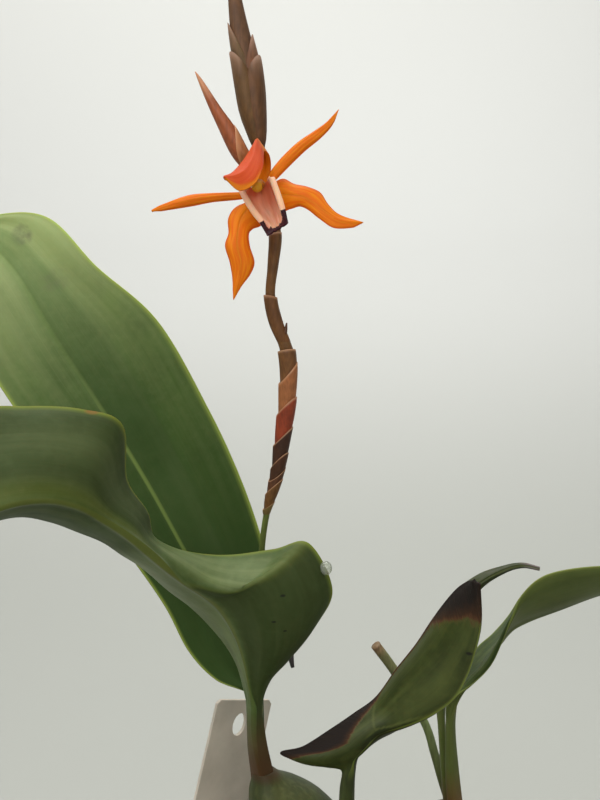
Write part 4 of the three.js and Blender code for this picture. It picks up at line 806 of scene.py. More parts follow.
def leaf_skin(name, upper, under, deep, pale, rib, edge, stalk, pleats, roughness, spots=(), burnt=False):
    """Living leaf blade: waxy skin over parallel veins, a pale rib, a thin yellow-green margin."""
    # The wax gives soft broad highlights; light passes a little way into the flesh
    material, tree, shader = finish(
        name, roughness, IOR=1.42, Specular_IOR_Level=0.32, Subsurface_Weight=0.1, Subsurface_Scale=0.001
    )
    place, along, across, upper_side, rib_mark, edge_mark, stain, bloom_and_highlight, shade = readings(
        tree, "along", "across", "upper", "rib", "edge", "stain", "bloom_and_highlight", "shade"
    )
    cloud = add(tree, "TexNoise", {"Vector": place, "Scale": per_metre(9), "Detail": 4.0})
    grain = add(tree, "TexNoise", {"Vector": place, "Scale": per_metre(1.6), "Detail": 4.0})
    turns = add(tree, "Math", {0: across, 1: pleats * math.pi}, operation="MULTIPLY")
    wave = add(tree, "Math", {0: turns}, operation="SINE")
    line = add(tree, "Math", {0: wave}, operation="ABSOLUTE")
    vein = add(tree, "ValToRGB", {"Fac": line}, [(0.0, 1), (0.3, 0)])
    # Broad soft streaks that follow the pleats, uneven along the blade
    strips = add(tree, "CombineXYZ", {"X": turns, "Y": along})
    drawn = add(tree, "VectorMath", {0: strips, 1: (0.16, 3.0, 1.0)}, operation="MULTIPLY")
    strip = add(tree, "TexNoise", {"Vector": drawn, "Scale": 1.0, "Detail": 3.0, "Roughness": 0.6})
    tints = [
        (upper_side, upper),
        (add(tree, "ValToRGB", {"Fac": cloud}, [(0.4, 0), (0.7, 0.5)]), deep),
        (add(tree, "ValToRGB", {"Fac": strip}, [(0.42, 0), (0.7, 0.4)]), pale),
        (add(tree, "ValToRGB", {"Fac": grain}, [(0.45, 0), (0.8, 0.22)]), pale),
        (add(tree, "Math", {0: vein, 1: 0.035}, operation="MULTIPLY"), pale),
        # Painted shade from the shade mark, then the leaf's own paler tone mixed with painted highlights
        # from the next mark
        (shade, deep),
        (bloom_and_highlight, pale),
        (rib_mark, rib),
        (edge_mark, edge),
        (add(tree, "ValToRGB", {"Fac": along}, [(0.02, 1), (0.1, 0)]), stalk),
    ]
    relief = add(tree, "Math", {0: vein, 1: -0.15, 2: grain}, operation="MULTIPLY_ADD")
    if burnt:
        tint, cracks, dull = scorched(tree, place, along, across, stain, roughness)
        relief = add(tree, "Math", {0: cracks, 1: 3.0, 2: relief}, operation="MULTIPLY_ADD")
    else:
        tint, dull = bruised(tree, cloud, grain, stain, shade, roughness)
    tints.append(tint)
    tree.links.new(dull, shader.inputs["Roughness"])
    # The specks are twice as wide as high
    coat(tree, shader, under, tints + spot_tints(tree, place, spots, (0.5, 0.5, 1.0)), relief, 0.3, 0.15)
    return material


def petal_skin(name, body, vein, edge, inner=None, glow=0.3):
    """Thin petal flesh: velvety sheen, light glowing through, yellower veins and redder margins."""
    material, tree, shader = finish(
        name, 0.55, IOR=1.4, Specular_IOR_Level=0.2, Subsurface_Weight=glow, Subsurface_Scale=0.001
    )
    place, along, across, edge_mark, bloom_and_highlight = readings(tree, "along", "across", "edge", "bloom_and_highlight")
    strips = add(tree, "CombineXYZ", {"X": across, "Y": along})
    drawn = add(tree, "VectorMath", {0: strips, 1: (5.0, 3.2, 1.0)}, operation="MULTIPLY")
    streak = add(tree, "TexNoise", {"Vector": drawn, "Scale": 1.0, "Detail": 5.0, "Distortion": 0.5})
    veined = add(tree, "ValToRGB", {"Fac": streak}, [(0.42, 0), (0.72, 0.85)])
    tints = [(veined, vein), (bloom_and_highlight, inner or vein), (edge_mark, edge)]
    # The cells of the flesh, drawn coarser than they are so that they show; so too in the lip and the column
    cells = add(tree, "TexNoise", {"Vector": place, "Scale": per_metre(0.25), "Detail": 1.0})
    relief = add(tree, "Math", {0: streak, 1: 1.0, 2: cells}, operation="MULTIPLY_ADD")
    coat(tree, shader, body, tints, relief, 0.25, 0.08)
    return material


def lip_skin(name):
    """Lip flesh: peach side lobes, a pinkish-brown floor and a maroon front edge that runs in as streaks."""
    material, tree, shader = finish(
        name, 0.48, IOR=1.4, Specular_IOR_Level=0.3, Subsurface_Weight=0.5, Subsurface_Scale=0.001
    )
    place, lobe, tip, along, across = readings(tree, "lobe", "tip", "along", "across")
    strips = add(tree, "CombineXYZ", {"X": across, "Y": along})
    drawn = add(tree, "VectorMath", {0: strips, 1: (6.0, 2.4, 1.0)}, operation="MULTIPLY")
    streak = add(tree, "TexNoise", {"Vector": drawn, "Scale": 1.0, "Detail": 2.0})
    floor = add(tree, "ValToRGB", {"Fac": streak}, [(0.35, "#dc9c7c"), (0.68, "#f2c0a2")])
    throat = add(tree, "ValToRGB", {"Fac": along}, [(0.08, 0.75), (0.45, 0)])
    ragged = add(tree, "Math", {0: streak, 1: 1.3, 2: -0.65}, operation="MULTIPLY_ADD")
    reach = add(tree, "Math", {0: tip, 1: ragged}, operation="ADD")
    dark = add(tree, "ValToRGB", {"Fac": reach}, [(0.47, 0), (0.53, 1)])
    tints = [(throat, "#d87044"), (lobe, "#ffc8a4"), (dark, "#35101a")]
    cells = add(tree, "TexNoise", {"Vector": place, "Scale": per_metre(0.3), "Detail": 1.0})
    coat(tree, shader, floor, tints, cells, 0.2, 0.06)
    return material


def scale_skin(name, tones, rim, roughness=0.55, rim_start=0.94, rim_share=0.75):
    """Papery scale over a stem: a colour for each scale, long fibres and a bleached rim."""
    flesh = {"IOR": 1.45, "Subsurface_Weight": 0.06, "Subsurface_Scale": 0.0006}
    material, tree, shader = finish(name, roughness, **flesh)
    place, tone, rim_mark = readings(tree, "tone", "rim")
    body = add(tree, "ValToRGB", {"Fac": tone}, [(k / len(tones), code) for k, code in enumerate(tones)])
    body.node.color_ramp.interpolation = "CONSTANT"
    long = add(tree, "VectorMath", {0: place, 1: (1.0, 1.0, 0.1)}, operation="MULTIPLY")
    fibre = add(tree, "TexNoise", {"Vector": long, "Scale": per_metre(0.35), "Detail": 3.0})
    cloud = add(tree, "TexNoise", {"Vector": place, "Scale": per_metre(2.2), "Detail": 2.0})
    light = add(tree, "ValToRGB", {"Fac": fibre}, [(0.3, 0.8), (0.7, 1.2)])
    shade = add(tree, "ValToRGB", {"Fac": cloud}, [(0.35, 0.85), (0.65, 1.15)])
    bleach = add(tree, "ValToRGB", {"Fac": rim_mark}, [(rim_start, 0), (0.995, rim_share)])
    tints = [(1.0, light, "MULTIPLY"), (1.0, shade, "MULTIPLY"), (bleach, rim)]
    coat(tree, shader, body, tints, fibre, 0.35, 0.08)
    return material


def bulb_skin(name):
    """Waxy skin of a swollen stem: olive in uneven clouds, with paler lines and brown, papery ends."""
    material, tree, shader = finish(
        name, 0.56, IOR=1.42, Specular_IOR_Level=0.35, Subsurface_Weight=0.12, Subsurface_Scale=0.002
    )
    place, along = readings(tree, "along")
    cloud = add(tree, "TexNoise", {"Vector": place, "Scale": per_metre(14), "Detail": 2.0})
    body = add(tree, "ValToRGB", {"Fac": cloud}, [(0.35, "#283014"), (0.5, "#363d1b"), (0.68, "#4a4d22")])
    long = add(tree, "VectorMath", {0: place, 1: (1.0, 1.0, 0.15)}, operation="MULTIPLY")
    fibre = add(tree, "TexNoise", {"Vector": long, "Scale": per_metre(0.9), "Detail": 3.0})
    streak = add(tree, "ValToRGB", {"Fac": fibre}, [(0.45, 0), (0.75, 0.25)])
    ends = add(tree, "ValToRGB", {"Fac": along}, [(0.04, 1), (0.2, 0), (0.965, 0), (0.99, 0.8)])
    coat(tree, shader, body, [(streak, "#6c7242"), (ends, "#42301c")], fibre, 0.2, 0.15)
    return material


def bark_skin(name):
    """Fir bark chips: corky layers from tan to dark brown, dry and quite matt."""
    material, tree, shader = finish(name, 0.92, IOR=1.45)
    place, tone = readings(tree, "tone")
    layers = add(tree, "VectorMath", {0: place, 1: (1.0, 1.0, 3.0)}, operation="MULTIPLY")
    cork = add(tree, "TexNoise", {"Vector": layers, "Scale": per_metre(2.4), "Detail": 5.0})
    value = add(tree, "Math", {0: cork, 1: 0.9, 2: tone}, operation="MULTIPLY_ADD")
    tans = [(0.35, "#2c1d15"), (0.55, "#5a3b27"), (0.75, "#86603f"), (0.95, "#a98a66")]
    pits = add(tree, "TexNoise", {"Vector": place, "Scale": per_metre(0.6), "Detail": 4.0})
    relief = add(tree, "Math", {0: cork, 1: 2.0, 2: pits}, operation="MULTIPLY_ADD")
    coat(tree, shader, add(tree, "ValToRGB", {"Fac": value}, tans), [], relief, 0.8, 0.5)
    return material


def root_skin(name):
    """Creeping stem and roots: fibrous, tan, greyer in the velvety outer layer."""
    material, tree, shader = finish(name, 0.75, IOR=1.45)
    place = add(tree, "TexCoord", out=3)
    cloud = add(tree, "TexNoise", {"Vector": place, "Scale": per_metre(3), "Detail": 4.0})
    colour = add(tree, "ValToRGB", {"Fac": cloud}, [(0.35, "#6a5233"), (0.55, "#8a7a50"), (0.75, "#a8a080")])
    fibre = add(tree, "TexNoise", {"Vector": place, "Scale": per_metre(0.5), "Detail": 3.0})
    coat(tree, shader, colour, [], fibre, 0.5, 0.2)
    return material


def stalk_skin(name):
    """Old leaf stalk: dull green-brown, its cut end dry and corky."""
    material, tree, shader = finish(name, 0.6, IOR=1.45, Subsurface_Weight=0.05, Subsurface_Scale=0.0008)
    place, along = readings(tree, "along")
    greens = [(0.0, "#5a4030"), (0.2, "#5c6238"), (0.6, "#6f7d4c"), (0.93, "#6f6e46")]
    cut_end = [(0.975, "#8a7350"), (0.99, "#7a6244")]
    body = add(tree, "ValToRGB", {"Fac": along}, greens + cut_end)
    long = add(tree, "VectorMath", {0: place, 1: (1.0, 1.0, 0.2)}, operation="MULTIPLY")
    fibre = add(tree, "TexNoise", {"Vector": long, "Scale": per_metre(0.5), "Detail": 3.0})
    light = add(tree, "ValToRGB", {"Fac": fibre}, [(0.3, 0.7), (0.7, 1.15)])
    coat(tree, shader, body, [(1.0, light, "MULTIPLY")], fibre, 0.3, 0.1)
    return material


def column_skin(name):
    """Waxy column: orange-brown below, a yellow-olive cap with a small red-brown mark on each side."""
    material, tree, shader = finish(
        name, 0.5, IOR=1.42, Specular_IOR_Level=0.3, Subsurface_Weight=0.3, Subsurface_Scale=0.0008
    )
    place, along = readings(tree, "along")
    ambers = [(0.0, "#b0602a"), (0.45, "#b8742e"), (0.62, "#cc8a26"), (0.85, "#d8a02a")]
    body = add(tree, "ValToRGB", {"Fac": along}, ambers)
    cells = add(tree, "TexNoise", {"Vector": place, "Scale": per_metre(0.4), "Detail": 1.0})
    coat(tree, shader, body, spot_tints(tree, place, COLUMN_MARKS), cells, 0.15, 0.05)
    return material


def pot_plastic(name, colour):
    """Injection-moulded polypropylene: near black, fine satin grain, a little dust and scuffing."""
    material, tree, shader = finish(name, 0.5, IOR=1.49)
    place = add(tree, "TexCoord", out=3)
    dust = add(tree, "TexNoise", {"Vector": place, "Scale": per_metre(18), "Detail": 6.0})
    share = add(tree, "ValToRGB", {"Fac": dust}, [(0.48, 0), (0.85, 0.35)])
    dull = add(tree, "ValToRGB", {"Fac": dust}, [(0.4, 0.45), (0.8, 0.75)])
    tree.links.new(dull, shader.inputs["Roughness"])
    # The mould's satin grain, drawn coarser than it is so that it shows
    grain = add(tree, "TexNoise", {"Vector": place, "Scale": per_metre(0.5), "Detail": 1.0})
    coat(tree, shader, colour, [(share, "#6d6558")], grain, 0.2, 0.05)
    return material


def label_plastic(name, colour):
    """Weathered polystyrene plant label: beige-grey, matt, with faint water stains."""
    material, tree, shader = finish(name, 0.62, IOR=1.55, Subsurface_Weight=0.05, Subsurface_Scale=0.001)
    place = add(tree, "TexCoord", out=3)
    stain = add(tree, "TexNoise", {"Vector": place, "Scale": per_metre(9), "Detail": 5.0})
    share = add(tree, "ValToRGB", {"Fac": stain}, [(0.4, 0), (0.8, 0.6)])
    grain = add(tree, "TexNoise", {"Vector": place, "Scale": per_metre(0.4), "Detail": 2.0})
    coat(tree, shader, colour, [(share, "#8a8272")], grain, 0.15, 0.05)
    return material


# Pieces


def leaf_piece(name, look):
    """A leaf with a tapering margin, a rib that is a groove above and a keel beneath, and shallow pleats."""
    grid, along, across = blade_grid(look["stations"], look["rows"], look["half"])
    # The foot runs on into the swollen stem that carries it
    foot = 1 - ease(along, 0.0, 0.04)
    grid = grid + foot[..., None] * np.array(look["foot"]) * MM
    w = np.abs(across)
    stalk = 1 - ease(along, look["stalk_end"] - 0.05, look["stalk_end"] + 0.06)
    blade = BLADE_THICK * (1 - 0.6 * ease(w, 0.85, 1.0))
    round_stalk = STALK_THICK * np.sqrt(np.clip(1 - 0.9 * w * w, 0.05, 1))
    thick = (blade + (round_stalk - blade) * stalk) * MM
    groove = RIB_GROOVE * MM * (1 - ease(w, 0.0, 0.07)) * (1 - stalk)
    keel = look["keel"] * MM * (1 - ease(w, 0.0, 0.11)) * (1 - 0.8 * along) * (1 - stalk)
    fade = ease(w, 0.04, 0.2) * (1 - ease(w, 0.85, 1)) * (1 - stalk) * (1 - ease(along, 0.88, 1))
    pleat = look["pleat"] * MM * np.cos(np.pi * look["pleats"] * w) * fade
    upper_off, under_off = thick / 2 - groove, thick / 2 + keel
    front, back = (upper_off, under_off) if look["up"] else (under_off, upper_off)
    painted = look["paint"](grid / MM, along, across)
    rib = (1 - ease(w, 0.008, 0.035)) * (1 - stalk) * look["rib_show"] * painted.pop("rib_share", 1)
    marks = {
        "along": along,
        "across": across,
        "rib": np.maximum(rib, np.clip(painted.pop("rib_extra", 0), 0, 1)),
        "edge": 0.8 * ease(w, 0.95, 0.995) * (1 - stalk),
        "stain": 0 * w,
        "bloom_and_highlight": 0 * w,
        "shade": 0 * w,
    }
    marks.update({mark: np.clip(amount, 0, 1) for mark, amount in painted.items()})
    return sheet_piece(name, grid, front + pleat, back - pleat, marks, look["up"])


def near(where, centre, radius):
    """1 at the centre, falling to 0 at the radius, both in millimetres."""
    return 1 - ease(np.linalg.norm(where - np.array(centre), axis=-1), 0.2 * radius, radius)


def band(value, low, high, soft):
    """1 between low and high, with soft ends."""
    return ease(value, low - soft, low + soft) * (1 - ease(value, high - soft, high + soft))


def paint_back(where, along, across):
    """Lighter and yellower towards the tip, its own tone with painted light over it; painted shade beside
    the rib and low down; two bruises.
    """
    beside = band(across, 0.01, 0.45, 0.02) * ease(along, 0.5, 0.62) * 0.25
    # Painted shade low down and beside the rib; the paler tip is the leaf's own tone with painted light on
    # it
    return {
        "stain": 0.9 * near(where, (-79.0, 23.4, 242.0), 4.2) + 0.5 * near(where, (-71.3, 23.0, 231.6), 7.5),
        "bloom_and_highlight": 0.7 * ease(along, 0.6, 0.85) * (1 - 0.6 * band(across, -0.05, 0.4, 0.05)),
        "shade": 0.95 * (1 - ease(along, 0.4, 0.9)) + beside,
        "rib_share": 1 - 0.85 * ease(along, 0.56, 0.66),
    }


def paint_front(where, along, across):
    """Painted olive shade below the fold, painted highlights on the saddle above it and its crest, an
    olive-yellow keel band.
    """
    fold = 0.378 + 0.09 * (1 - ease(across, 0.05, 0.5))
    right = ease(across, 0.0, 0.08)
    below = (1 - ease(along, fold - 0.014, fold + 0.006)) * right
    crest_highlight = (1 - ease(np.abs(along - fold), 0.004, 0.022)) * right
    saddle = band(along, fold + 0.02, 0.56, 0.03) * band(across, 0.2, 0.92, 0.15)
    beyond = ease(along, 0.55, 0.62)
    keel = band(across, 0.02, 0.2, 0.12) * beyond
    under = 1 - ease(across, -0.06, -0.01)
    sheen = band(along, 0.66, 0.84, 0.06) * band(across, 0.4, 0.8, 0.15)
    strip = under * (1 - beyond) * ease(along, 0.12, 0.22)
    # Painted shade below the fold, under the keel and over the far half; painted highlights on the saddle,
    # the strip, the sheen and the crest
    return {
        "shade": 0.75 * below + 0.5 * under * beyond + 0.6 * band(across, 0.2, 1.1, 0.1) * beyond,
        "bloom_and_highlight": 0.28 * saddle + 0.34 * strip + 0.16 * sheen - 0.15 * below,
        "rib_extra": 0.5 * keel + 0.3 * crest_highlight,
        "rib_share": 1 - 0.9 * below - 0.6 * under,
    }


# Where the scorched leaf turns over, each (place along, place across)
BURNT_FOLD = (
    (0.3, 0.1), (0.33, 0.17), (0.4, 0.26), (0.48, 0.31), (0.54, 0.17), (0.62, 0.09), (0.68, 0.02), (1, 0.0),
)


def paint_burnt(where, along, across):
    """A scorched band on the lobe, a thin burnt margin, a dead tip, painted highlights on the crease and the
    fold, painted shade past the fold.
    """
    inner = 0.53 + np.where(along < 0.408, 3.2 * (0.408 - along), 2.6 * (along - 0.408))
    lobe = ease(along, 0.2, 0.25) * (1 - ease(along, 0.56, 0.60)) * ease(across - inner, -0.12, 0.12)
    margin = 0.62 * ease(across, 0.95, 0.985) * ease(along, 0.5, 0.56)
    margin += 0.42 * ease(-across, 0.94, 0.99) * band(along, 0.3, 0.8, 0.05)
    far, close = 0.75 + 0.3 * (1 - across), np.minimum(0.915 + 0.1 * (0.45 - across), 0.965)
    tip = ease(along - np.where(across > 0.45, far, close), -0.075, 0.06)
    crease = 0.447 + 0.125 * across
    line = (1 - ease(np.abs(along - crease), 0.002, 0.007)) * band(across, 0.3, 0.95, 0.03)
    turn = np.interp(along, *zip(*BURNT_FOLD))
    fold = (1 - ease(np.abs(across - turn), 0.01, 0.045)) * band(along, 0.44, 0.82, 0.03)
    short_of = (1 - ease(along - crease, -0.004, 0.004)) * ease(along, 0.12, 0.25)
    neck = band(across, 0.1, 0.4, 0.08) * band(along, 0.58, 0.78, 0.05)
    # Painted shade past the fold and short of the crease; painted highlights along the crease and the fold,
    # with paler streaks on the neck
    return {
        "stain": np.maximum(np.maximum(lobe, tip), margin),
        "shade": 0.12 * short_of + 0.6 * (1 - ease(across - turn, -0.05, 0.0)),
        "bloom_and_highlight": 0.4 * line + 0.55 * fold + 0.25 * neck,
        "rib_share": 0.8,
    }


def paint_right(where, along, across):
    """Paler along the middle of its left half and low down."""
    return {"bloom_and_highlight": 0.25 * band(across, -0.5, -0.1, 0.2) + 0.55 * (1 - ease(along, 0.2, 0.35))}


def paint_slim(where, along, across):
    """The tip has withered to a greyish purple."""
    return {"bloom_and_highlight": 0.9 * ease(along, 0.86, 0.95), "edge": 0.55 * (1 - ease(along, 0.3, 0.45))}


# Small spots, each its centre, solid radius, whole radius and tint
FRONT_SPOTS = [
    ((-17.9, -14.5, 170.8), 0.15, 0.3, "#15150e"),
    ((-19.5, -13.2, 165.9), 0.13, 0.26, "#15150e"),
    ((-17.6, -12.2, 164.0), 0.11, 0.22, "#15150e"),
    ((-45.9, -27.5, 202.3), 0.35, 0.7, "#7d5f2c"),
]
BURNT_SPOTS = [((11.1, -24.0, 164.8), 0.17, 0.34, "#0e0d08")]
COLUMN_MARKS = [(place, 0.3, 0.55, "#7a2c16") for place in ((-22.9, -23.0, 237.3), (-20.6, -23.0, 237.3))]
# Up is 1 where the front of the grid is the leaf's upper side
LEAVES = {
    "leaf_back": {
        "foot": (0.4, -1.0, -2.6),
        "stations": BACK_LEAF, "rows": 210, "half": 26, "stalk_end": 0.16, "up": 0, "keel": 0.5,
        "pleat": 0.1, "pleats": 4, "rib_show": 0.45, "paint": paint_back, "slot": "leaf_upper",
        "skin": dict(upper="#46601c", under="#56693a", deep="#263c0e", pale="#7b8552", rib="#7f9346",
                     edge="#84953f", stalk="#5a4028", pleats=11, roughness=0.46),
    },
    "leaf_front": {
        "foot": (0.4, 2.4, -2.8),
        "stations": FRONT_LEAF, "rows": 300, "half": 26, "stalk_end": 0.13, "up": 1, "keel": 0.5,
        "pleat": 0.05, "pleats": 3, "rib_show": 0.6, "paint": paint_front, "slot": "leaf_folded",
        "skin": dict(upper="#466026", under="#435826", deep="#2b3512", pale="#7d895a", rib="#5d631f",
                     edge="#6f7d2a", stalk="#4f3820", pleats=10, roughness=0.52, spots=FRONT_SPOTS),
    },
    "leaf_burnt": {
        "foot": (0, 0.5, -2.6),
        "stations": BURNT_LEAF, "rows": 260, "half": 28, "stalk_end": 0.13, "up": 1, "keel": 0.4,
        "pleat": 0.05, "pleats": 3, "rib_show": 0.7, "paint": paint_burnt, "slot": "leaf_burnt",
        "skin": dict(upper="#2f3811", under="#2f3811", deep="#1a2107", pale="#575f2c", rib="#7d8c3a",
                     edge="#6f7c32", stalk="#394316", pleats=8, roughness=0.52, spots=BURNT_SPOTS,
                     burnt=True),
    },
    "leaf_right": {
        "foot": (0, 0.5, -2.6),
        "stations": RIGHT_LEAF, "rows": 180, "half": 24, "stalk_end": 0.2, "up": 1, "keel": 0.4,
        "pleat": 0.06, "pleats": 3, "rib_show": 0.4, "paint": paint_right, "slot": "leaf_dark",
        "skin": dict(upper="#2a3916", under="#475222", deep="#2b3814", pale="#586230", rib="#6d7640",
                     edge="#6d7a3a", stalk="#66452a", pleats=9, roughness=0.6),
    },
    "leaf_slim": {
        "foot": (0, -0.5, -2.6),
        "stations": SLIM_LEAF, "rows": 140, "half": 14, "stalk_end": 0.22, "up": 1, "keel": 0.2,
        "pleat": 0.03, "pleats": 2, "rib_show": 0.4, "paint": paint_slim, "slot": "leaf_dark",
        "skin": dict(upper="#333f18", under="#36401a", deep="#283312", pale="#6d6562", rib="#6d7640",
                     edge="#6d7a3a", stalk="#56402a", pleats=5, roughness=0.5),
    },
}

TEPALS = {
    "petal_left": (LEFT_PETAL, 90, 10),
    "petal_right": (RIGHT_PETAL, 90, 10),
    "lateral_sepal_left": (LEFT_SEPAL, 120, 16),
    "lateral_sepal_right": (RIGHT_SEPAL, 120, 16),
}

# The core's colour first, then one for each scale from the bottom up, then the dry scrap's
STEM_TONES = [
    "#5b672a", "#6c5830", "#66431f", "#55321a", "#472711", "#3e2110",
    "#8a381c", "#9e6238", "#6d4622", "#6c4420", "#6c4822", "#34302f",
]
# The bare stem above this height takes the tone of the highest scale
STEM_BROWN_FROM = 184
STEM_TOP_TONE = 10
SPIKE_TONES = ["#603f22", "#5d4423", "#6f4528", "#62441f"]
SIDE_BUD_TONES = ["#985029", "#9a5e32"]
# The heights between which the side bud pales
SIDE_BUD_PALES = (247, 256)


def pointed(grid, along, start):
    """Draws the sides of a blade together from a place along it to its tip."""
    middle = grid[:, grid.shape[1] // 2][:, None]
    keep = np.sqrt(np.clip((1 - along) / (1 - start), 0.004, 1))[..., None]
    return middle + (grid - middle) * keep


def tepal_piece(name, stations, rows, half):
    """A slim petal or sepal: thin at the margin, with a soft crease along its middle."""
    grid, along, across = blade_grid(stations, rows, half)
    grid = pointed(grid, along, 0.9)
    w = np.abs(across)
    thick = TEPAL_THICK * (1 - 0.65 * ease(w, 0.55, 1.0)) * MM
    crease = TEPAL_CREASE * MM * np.cos(2 * np.pi * w) * (1 - ease(w, 0.8, 1)) * (1 - ease(along, 0.85, 1))
    marks = {
        "along": along,
        "across": across,
        "edge": 0.65 * ease(w, 0.72, 1.0),
        "bloom_and_highlight": 0.5 * (1 - ease(along, 0.02, 0.35)) * (1 - ease(w, 0.2, 0.9)),
    }
    return sheet_piece(name, grid, thick / 2 + crease, thick / 2 - crease, marks)


def hood_piece(name):
    """The dorsal sepal, arched over the column: coral outside, orange inside and at its foot."""
    grid, along, across = blade_grid(DORSAL_SEPAL, 120, 16)
    w = np.abs(across)
    thick = TEPAL_THICK * (1 - 0.6 * ease(w, 0.6, 1.0)) * MM
    foot = 1 - ease(along, 0.36, 0.46)
    turned_edge = 0.88 - 0.3 * ease(along, 0.7, 0.95)
    strip = ease(across - turned_edge, -0.12, 0.1) * ease(along, 0.62, 0.72)
    marks = {
        "along": along,
        "across": across,
        "edge": 0.3 * ease(w, 0.85, 1.0) * (1 - strip),
        "bloom_and_highlight": np.maximum(foot, strip),
    }
    return sheet_piece(name, grid, thick / 2, thick / 2, marks)


def lip_piece(name):
    """The lip: a keeled trough between two side lobes that stand forward."""
    grid, along, across = blade_grid(LIP, 110, 26)
    w = np.abs(across)
    # The lobes' rims are rolled outwards, so their edges are fleshy down to the tip
    roll = ease(w, 0.72, 0.84) * (1 - ease(along, 0.5, 0.9))
    thin = 0.5 * ease(w, 0.8, 1.0) * (1 - roll)
    thick = TEPAL_THICK * (1 + 0.8 * roll - thin) * (1 - 0.4 * ease(along, 0.85, 1.0)) * MM
    floor = ease(along, 0.15, 0.4) * (1 - ease(w, 0.4, 0.6))
    keels = LIP_KEEL * MM * np.cos(2.5 * np.pi * across) ** 2 * floor
    marks = {
        "along": along,
        "across": across,
        "lobe": ease(w, 0.7, 0.78) * (1 - 0.4 * ease(along, 0.72, 0.86)),
        "tip": np.clip(0.5 + 4 * (along - 0.87 + 0.25 * w * w + 0.03 * ease(across, 0.35, 0.8)), 0, 1),
    }
    return sheet_piece(name, grid, thick / 2 + keels, thick / 2 - keels, marks)


def tone_of(place, tones):
    """The value that picks a colour by its place in a list of that many."""
    return (place + 0.5) / tones


def scaled_parts(rows, steps, sides, scales, tones):
    """A stem in the first of its tones, and its scales in the next ones, round again after the last."""
    parts = [stem_part(rows, steps, sides, tone_of(0, tones))]
    for k, row in enumerate(scales):
        parts.append(sheath_part(rows, row, sides, tone_of((k + 1) % tones, tones)))
    return parts


def bark_chip(roll, where, size):
    """A chunk of bark: the hull of a few points in a flat box, turned at random."""
    shape = bmesh.new()
    for _ in range(CHIP_CORNERS):
        shape.verts.new([(roll.random() - 0.5) * side for side in size])
    bmesh.ops.convex_hull(shape, input=shape.verts)
    bmesh.ops.delete(shape, geom=[v for v in shape.verts if not v.link_faces], context="VERTS")
    bmesh.ops.bevel(shape, geom=list(shape.edges), offset=CHIP_BEVEL * MM, segments=1, affect="EDGES")
    turn = Euler((0.7 * (roll.random() - 0.5), 0.7 * (roll.random() - 0.5), 2 * math.pi * roll.random()))
    place = Matrix.Translation(where) @ turn.to_matrix().to_4x4()
    bmesh.ops.transform(shape, matrix=place, verts=shape.verts)
    shape.verts.index_update()
    points = np.array([v.co for v in shape.verts])
    faces = [[v.index for v in f.verts] for f in shape.faces]
    shape.free()
    return points, faces, {"tone": np.full(len(points), -0.12 + 0.34 * roll.random())}


def pot_wall(z):
    """The pot's outer radius at a height below its rim band."""
    return POT_FOOT_R + (POT_WAIST_R - POT_FOOT_R) * z / (POT_HEIGHT - POT_RIM_DEEP)


def turned(profile, sides):
    """Rings of a profile [radius, height] turned round the pot's axis."""
    turn = ring_turns(sides)
    return np.array([[(r * math.cos(t), r * math.sin(t), z) for t in turn] for r, z in profile]) * MM


def soften(piece, degrees):
    """Smooth faces, with edges sharper than the angle kept crisp."""
    piece.data.set_sharp_from_angle(angle=math.radians(degrees))


def rounded(corners, radius, steps=4):
    """A profile with its inner corners rounded."""
    out = [corners[0]]
    for before, corner, after in zip(corners, corners[1:], corners[2:]):
        a, b, c = (np.array(p, float) for p in (before, corner, after))
        reach = min(radius, 0.45 * np.linalg.norm(a - b), 0.45 * np.linalg.norm(c - b))
        start = b + (a - b) / np.linalg.norm(a - b) * reach
        end = b + (c - b) / np.linalg.norm(c - b) * reach
        for k in range(steps + 1):
            t = k / steps
            out.append(tuple((1 - t) ** 2 * start + 2 * t * (1 - t) * b + t * t * end))
    out.append(corners[-1])
    return out


# What a user may change


class OrchidSizes(bpy.types.PropertyGroup):
    pot_sides: IntProperty(name="Pot sides", description="How many flats make it round", default=144, min=24)
    chip_count: IntProperty(name="Bark chips", description="How many chips lie on top", default=230, min=20)
    chip_size: FloatProperty(
        name="Chip size", description="Length of the largest chips", default=13 * MM, unit="LENGTH"
    )
    drop_size: FloatProperty(
        name="Water drop", description="Width of the drop on the front leaf", default=2.3 * MM, unit="LENGTH"
    )


class OrchidColours(bpy.types.PropertyGroup):
    pot: FloatVectorProperty(
        name="Pot", description="Colour of the pot's plastic", default=linear("#2b2c2d")[:3], subtype="COLOR"
    )
    label: FloatVectorProperty(
        name="Label", description="Colour of the plant label", default=linear("#c4bbab")[:3], subtype="COLOR"
    )
    backdrop: FloatVectorProperty(
        name="Backdrop", description="Colour of the wall", default=linear("#d9dad7")[:3], subtype="COLOR"
    )
    # The floor's colour is darker than the wall's as painted shade
    floor: FloatVectorProperty(
        name="Floor", description="Colour of the floor", default=linear("#a9aba5")[:3], subtype="COLOR"
    )


# Making each piece


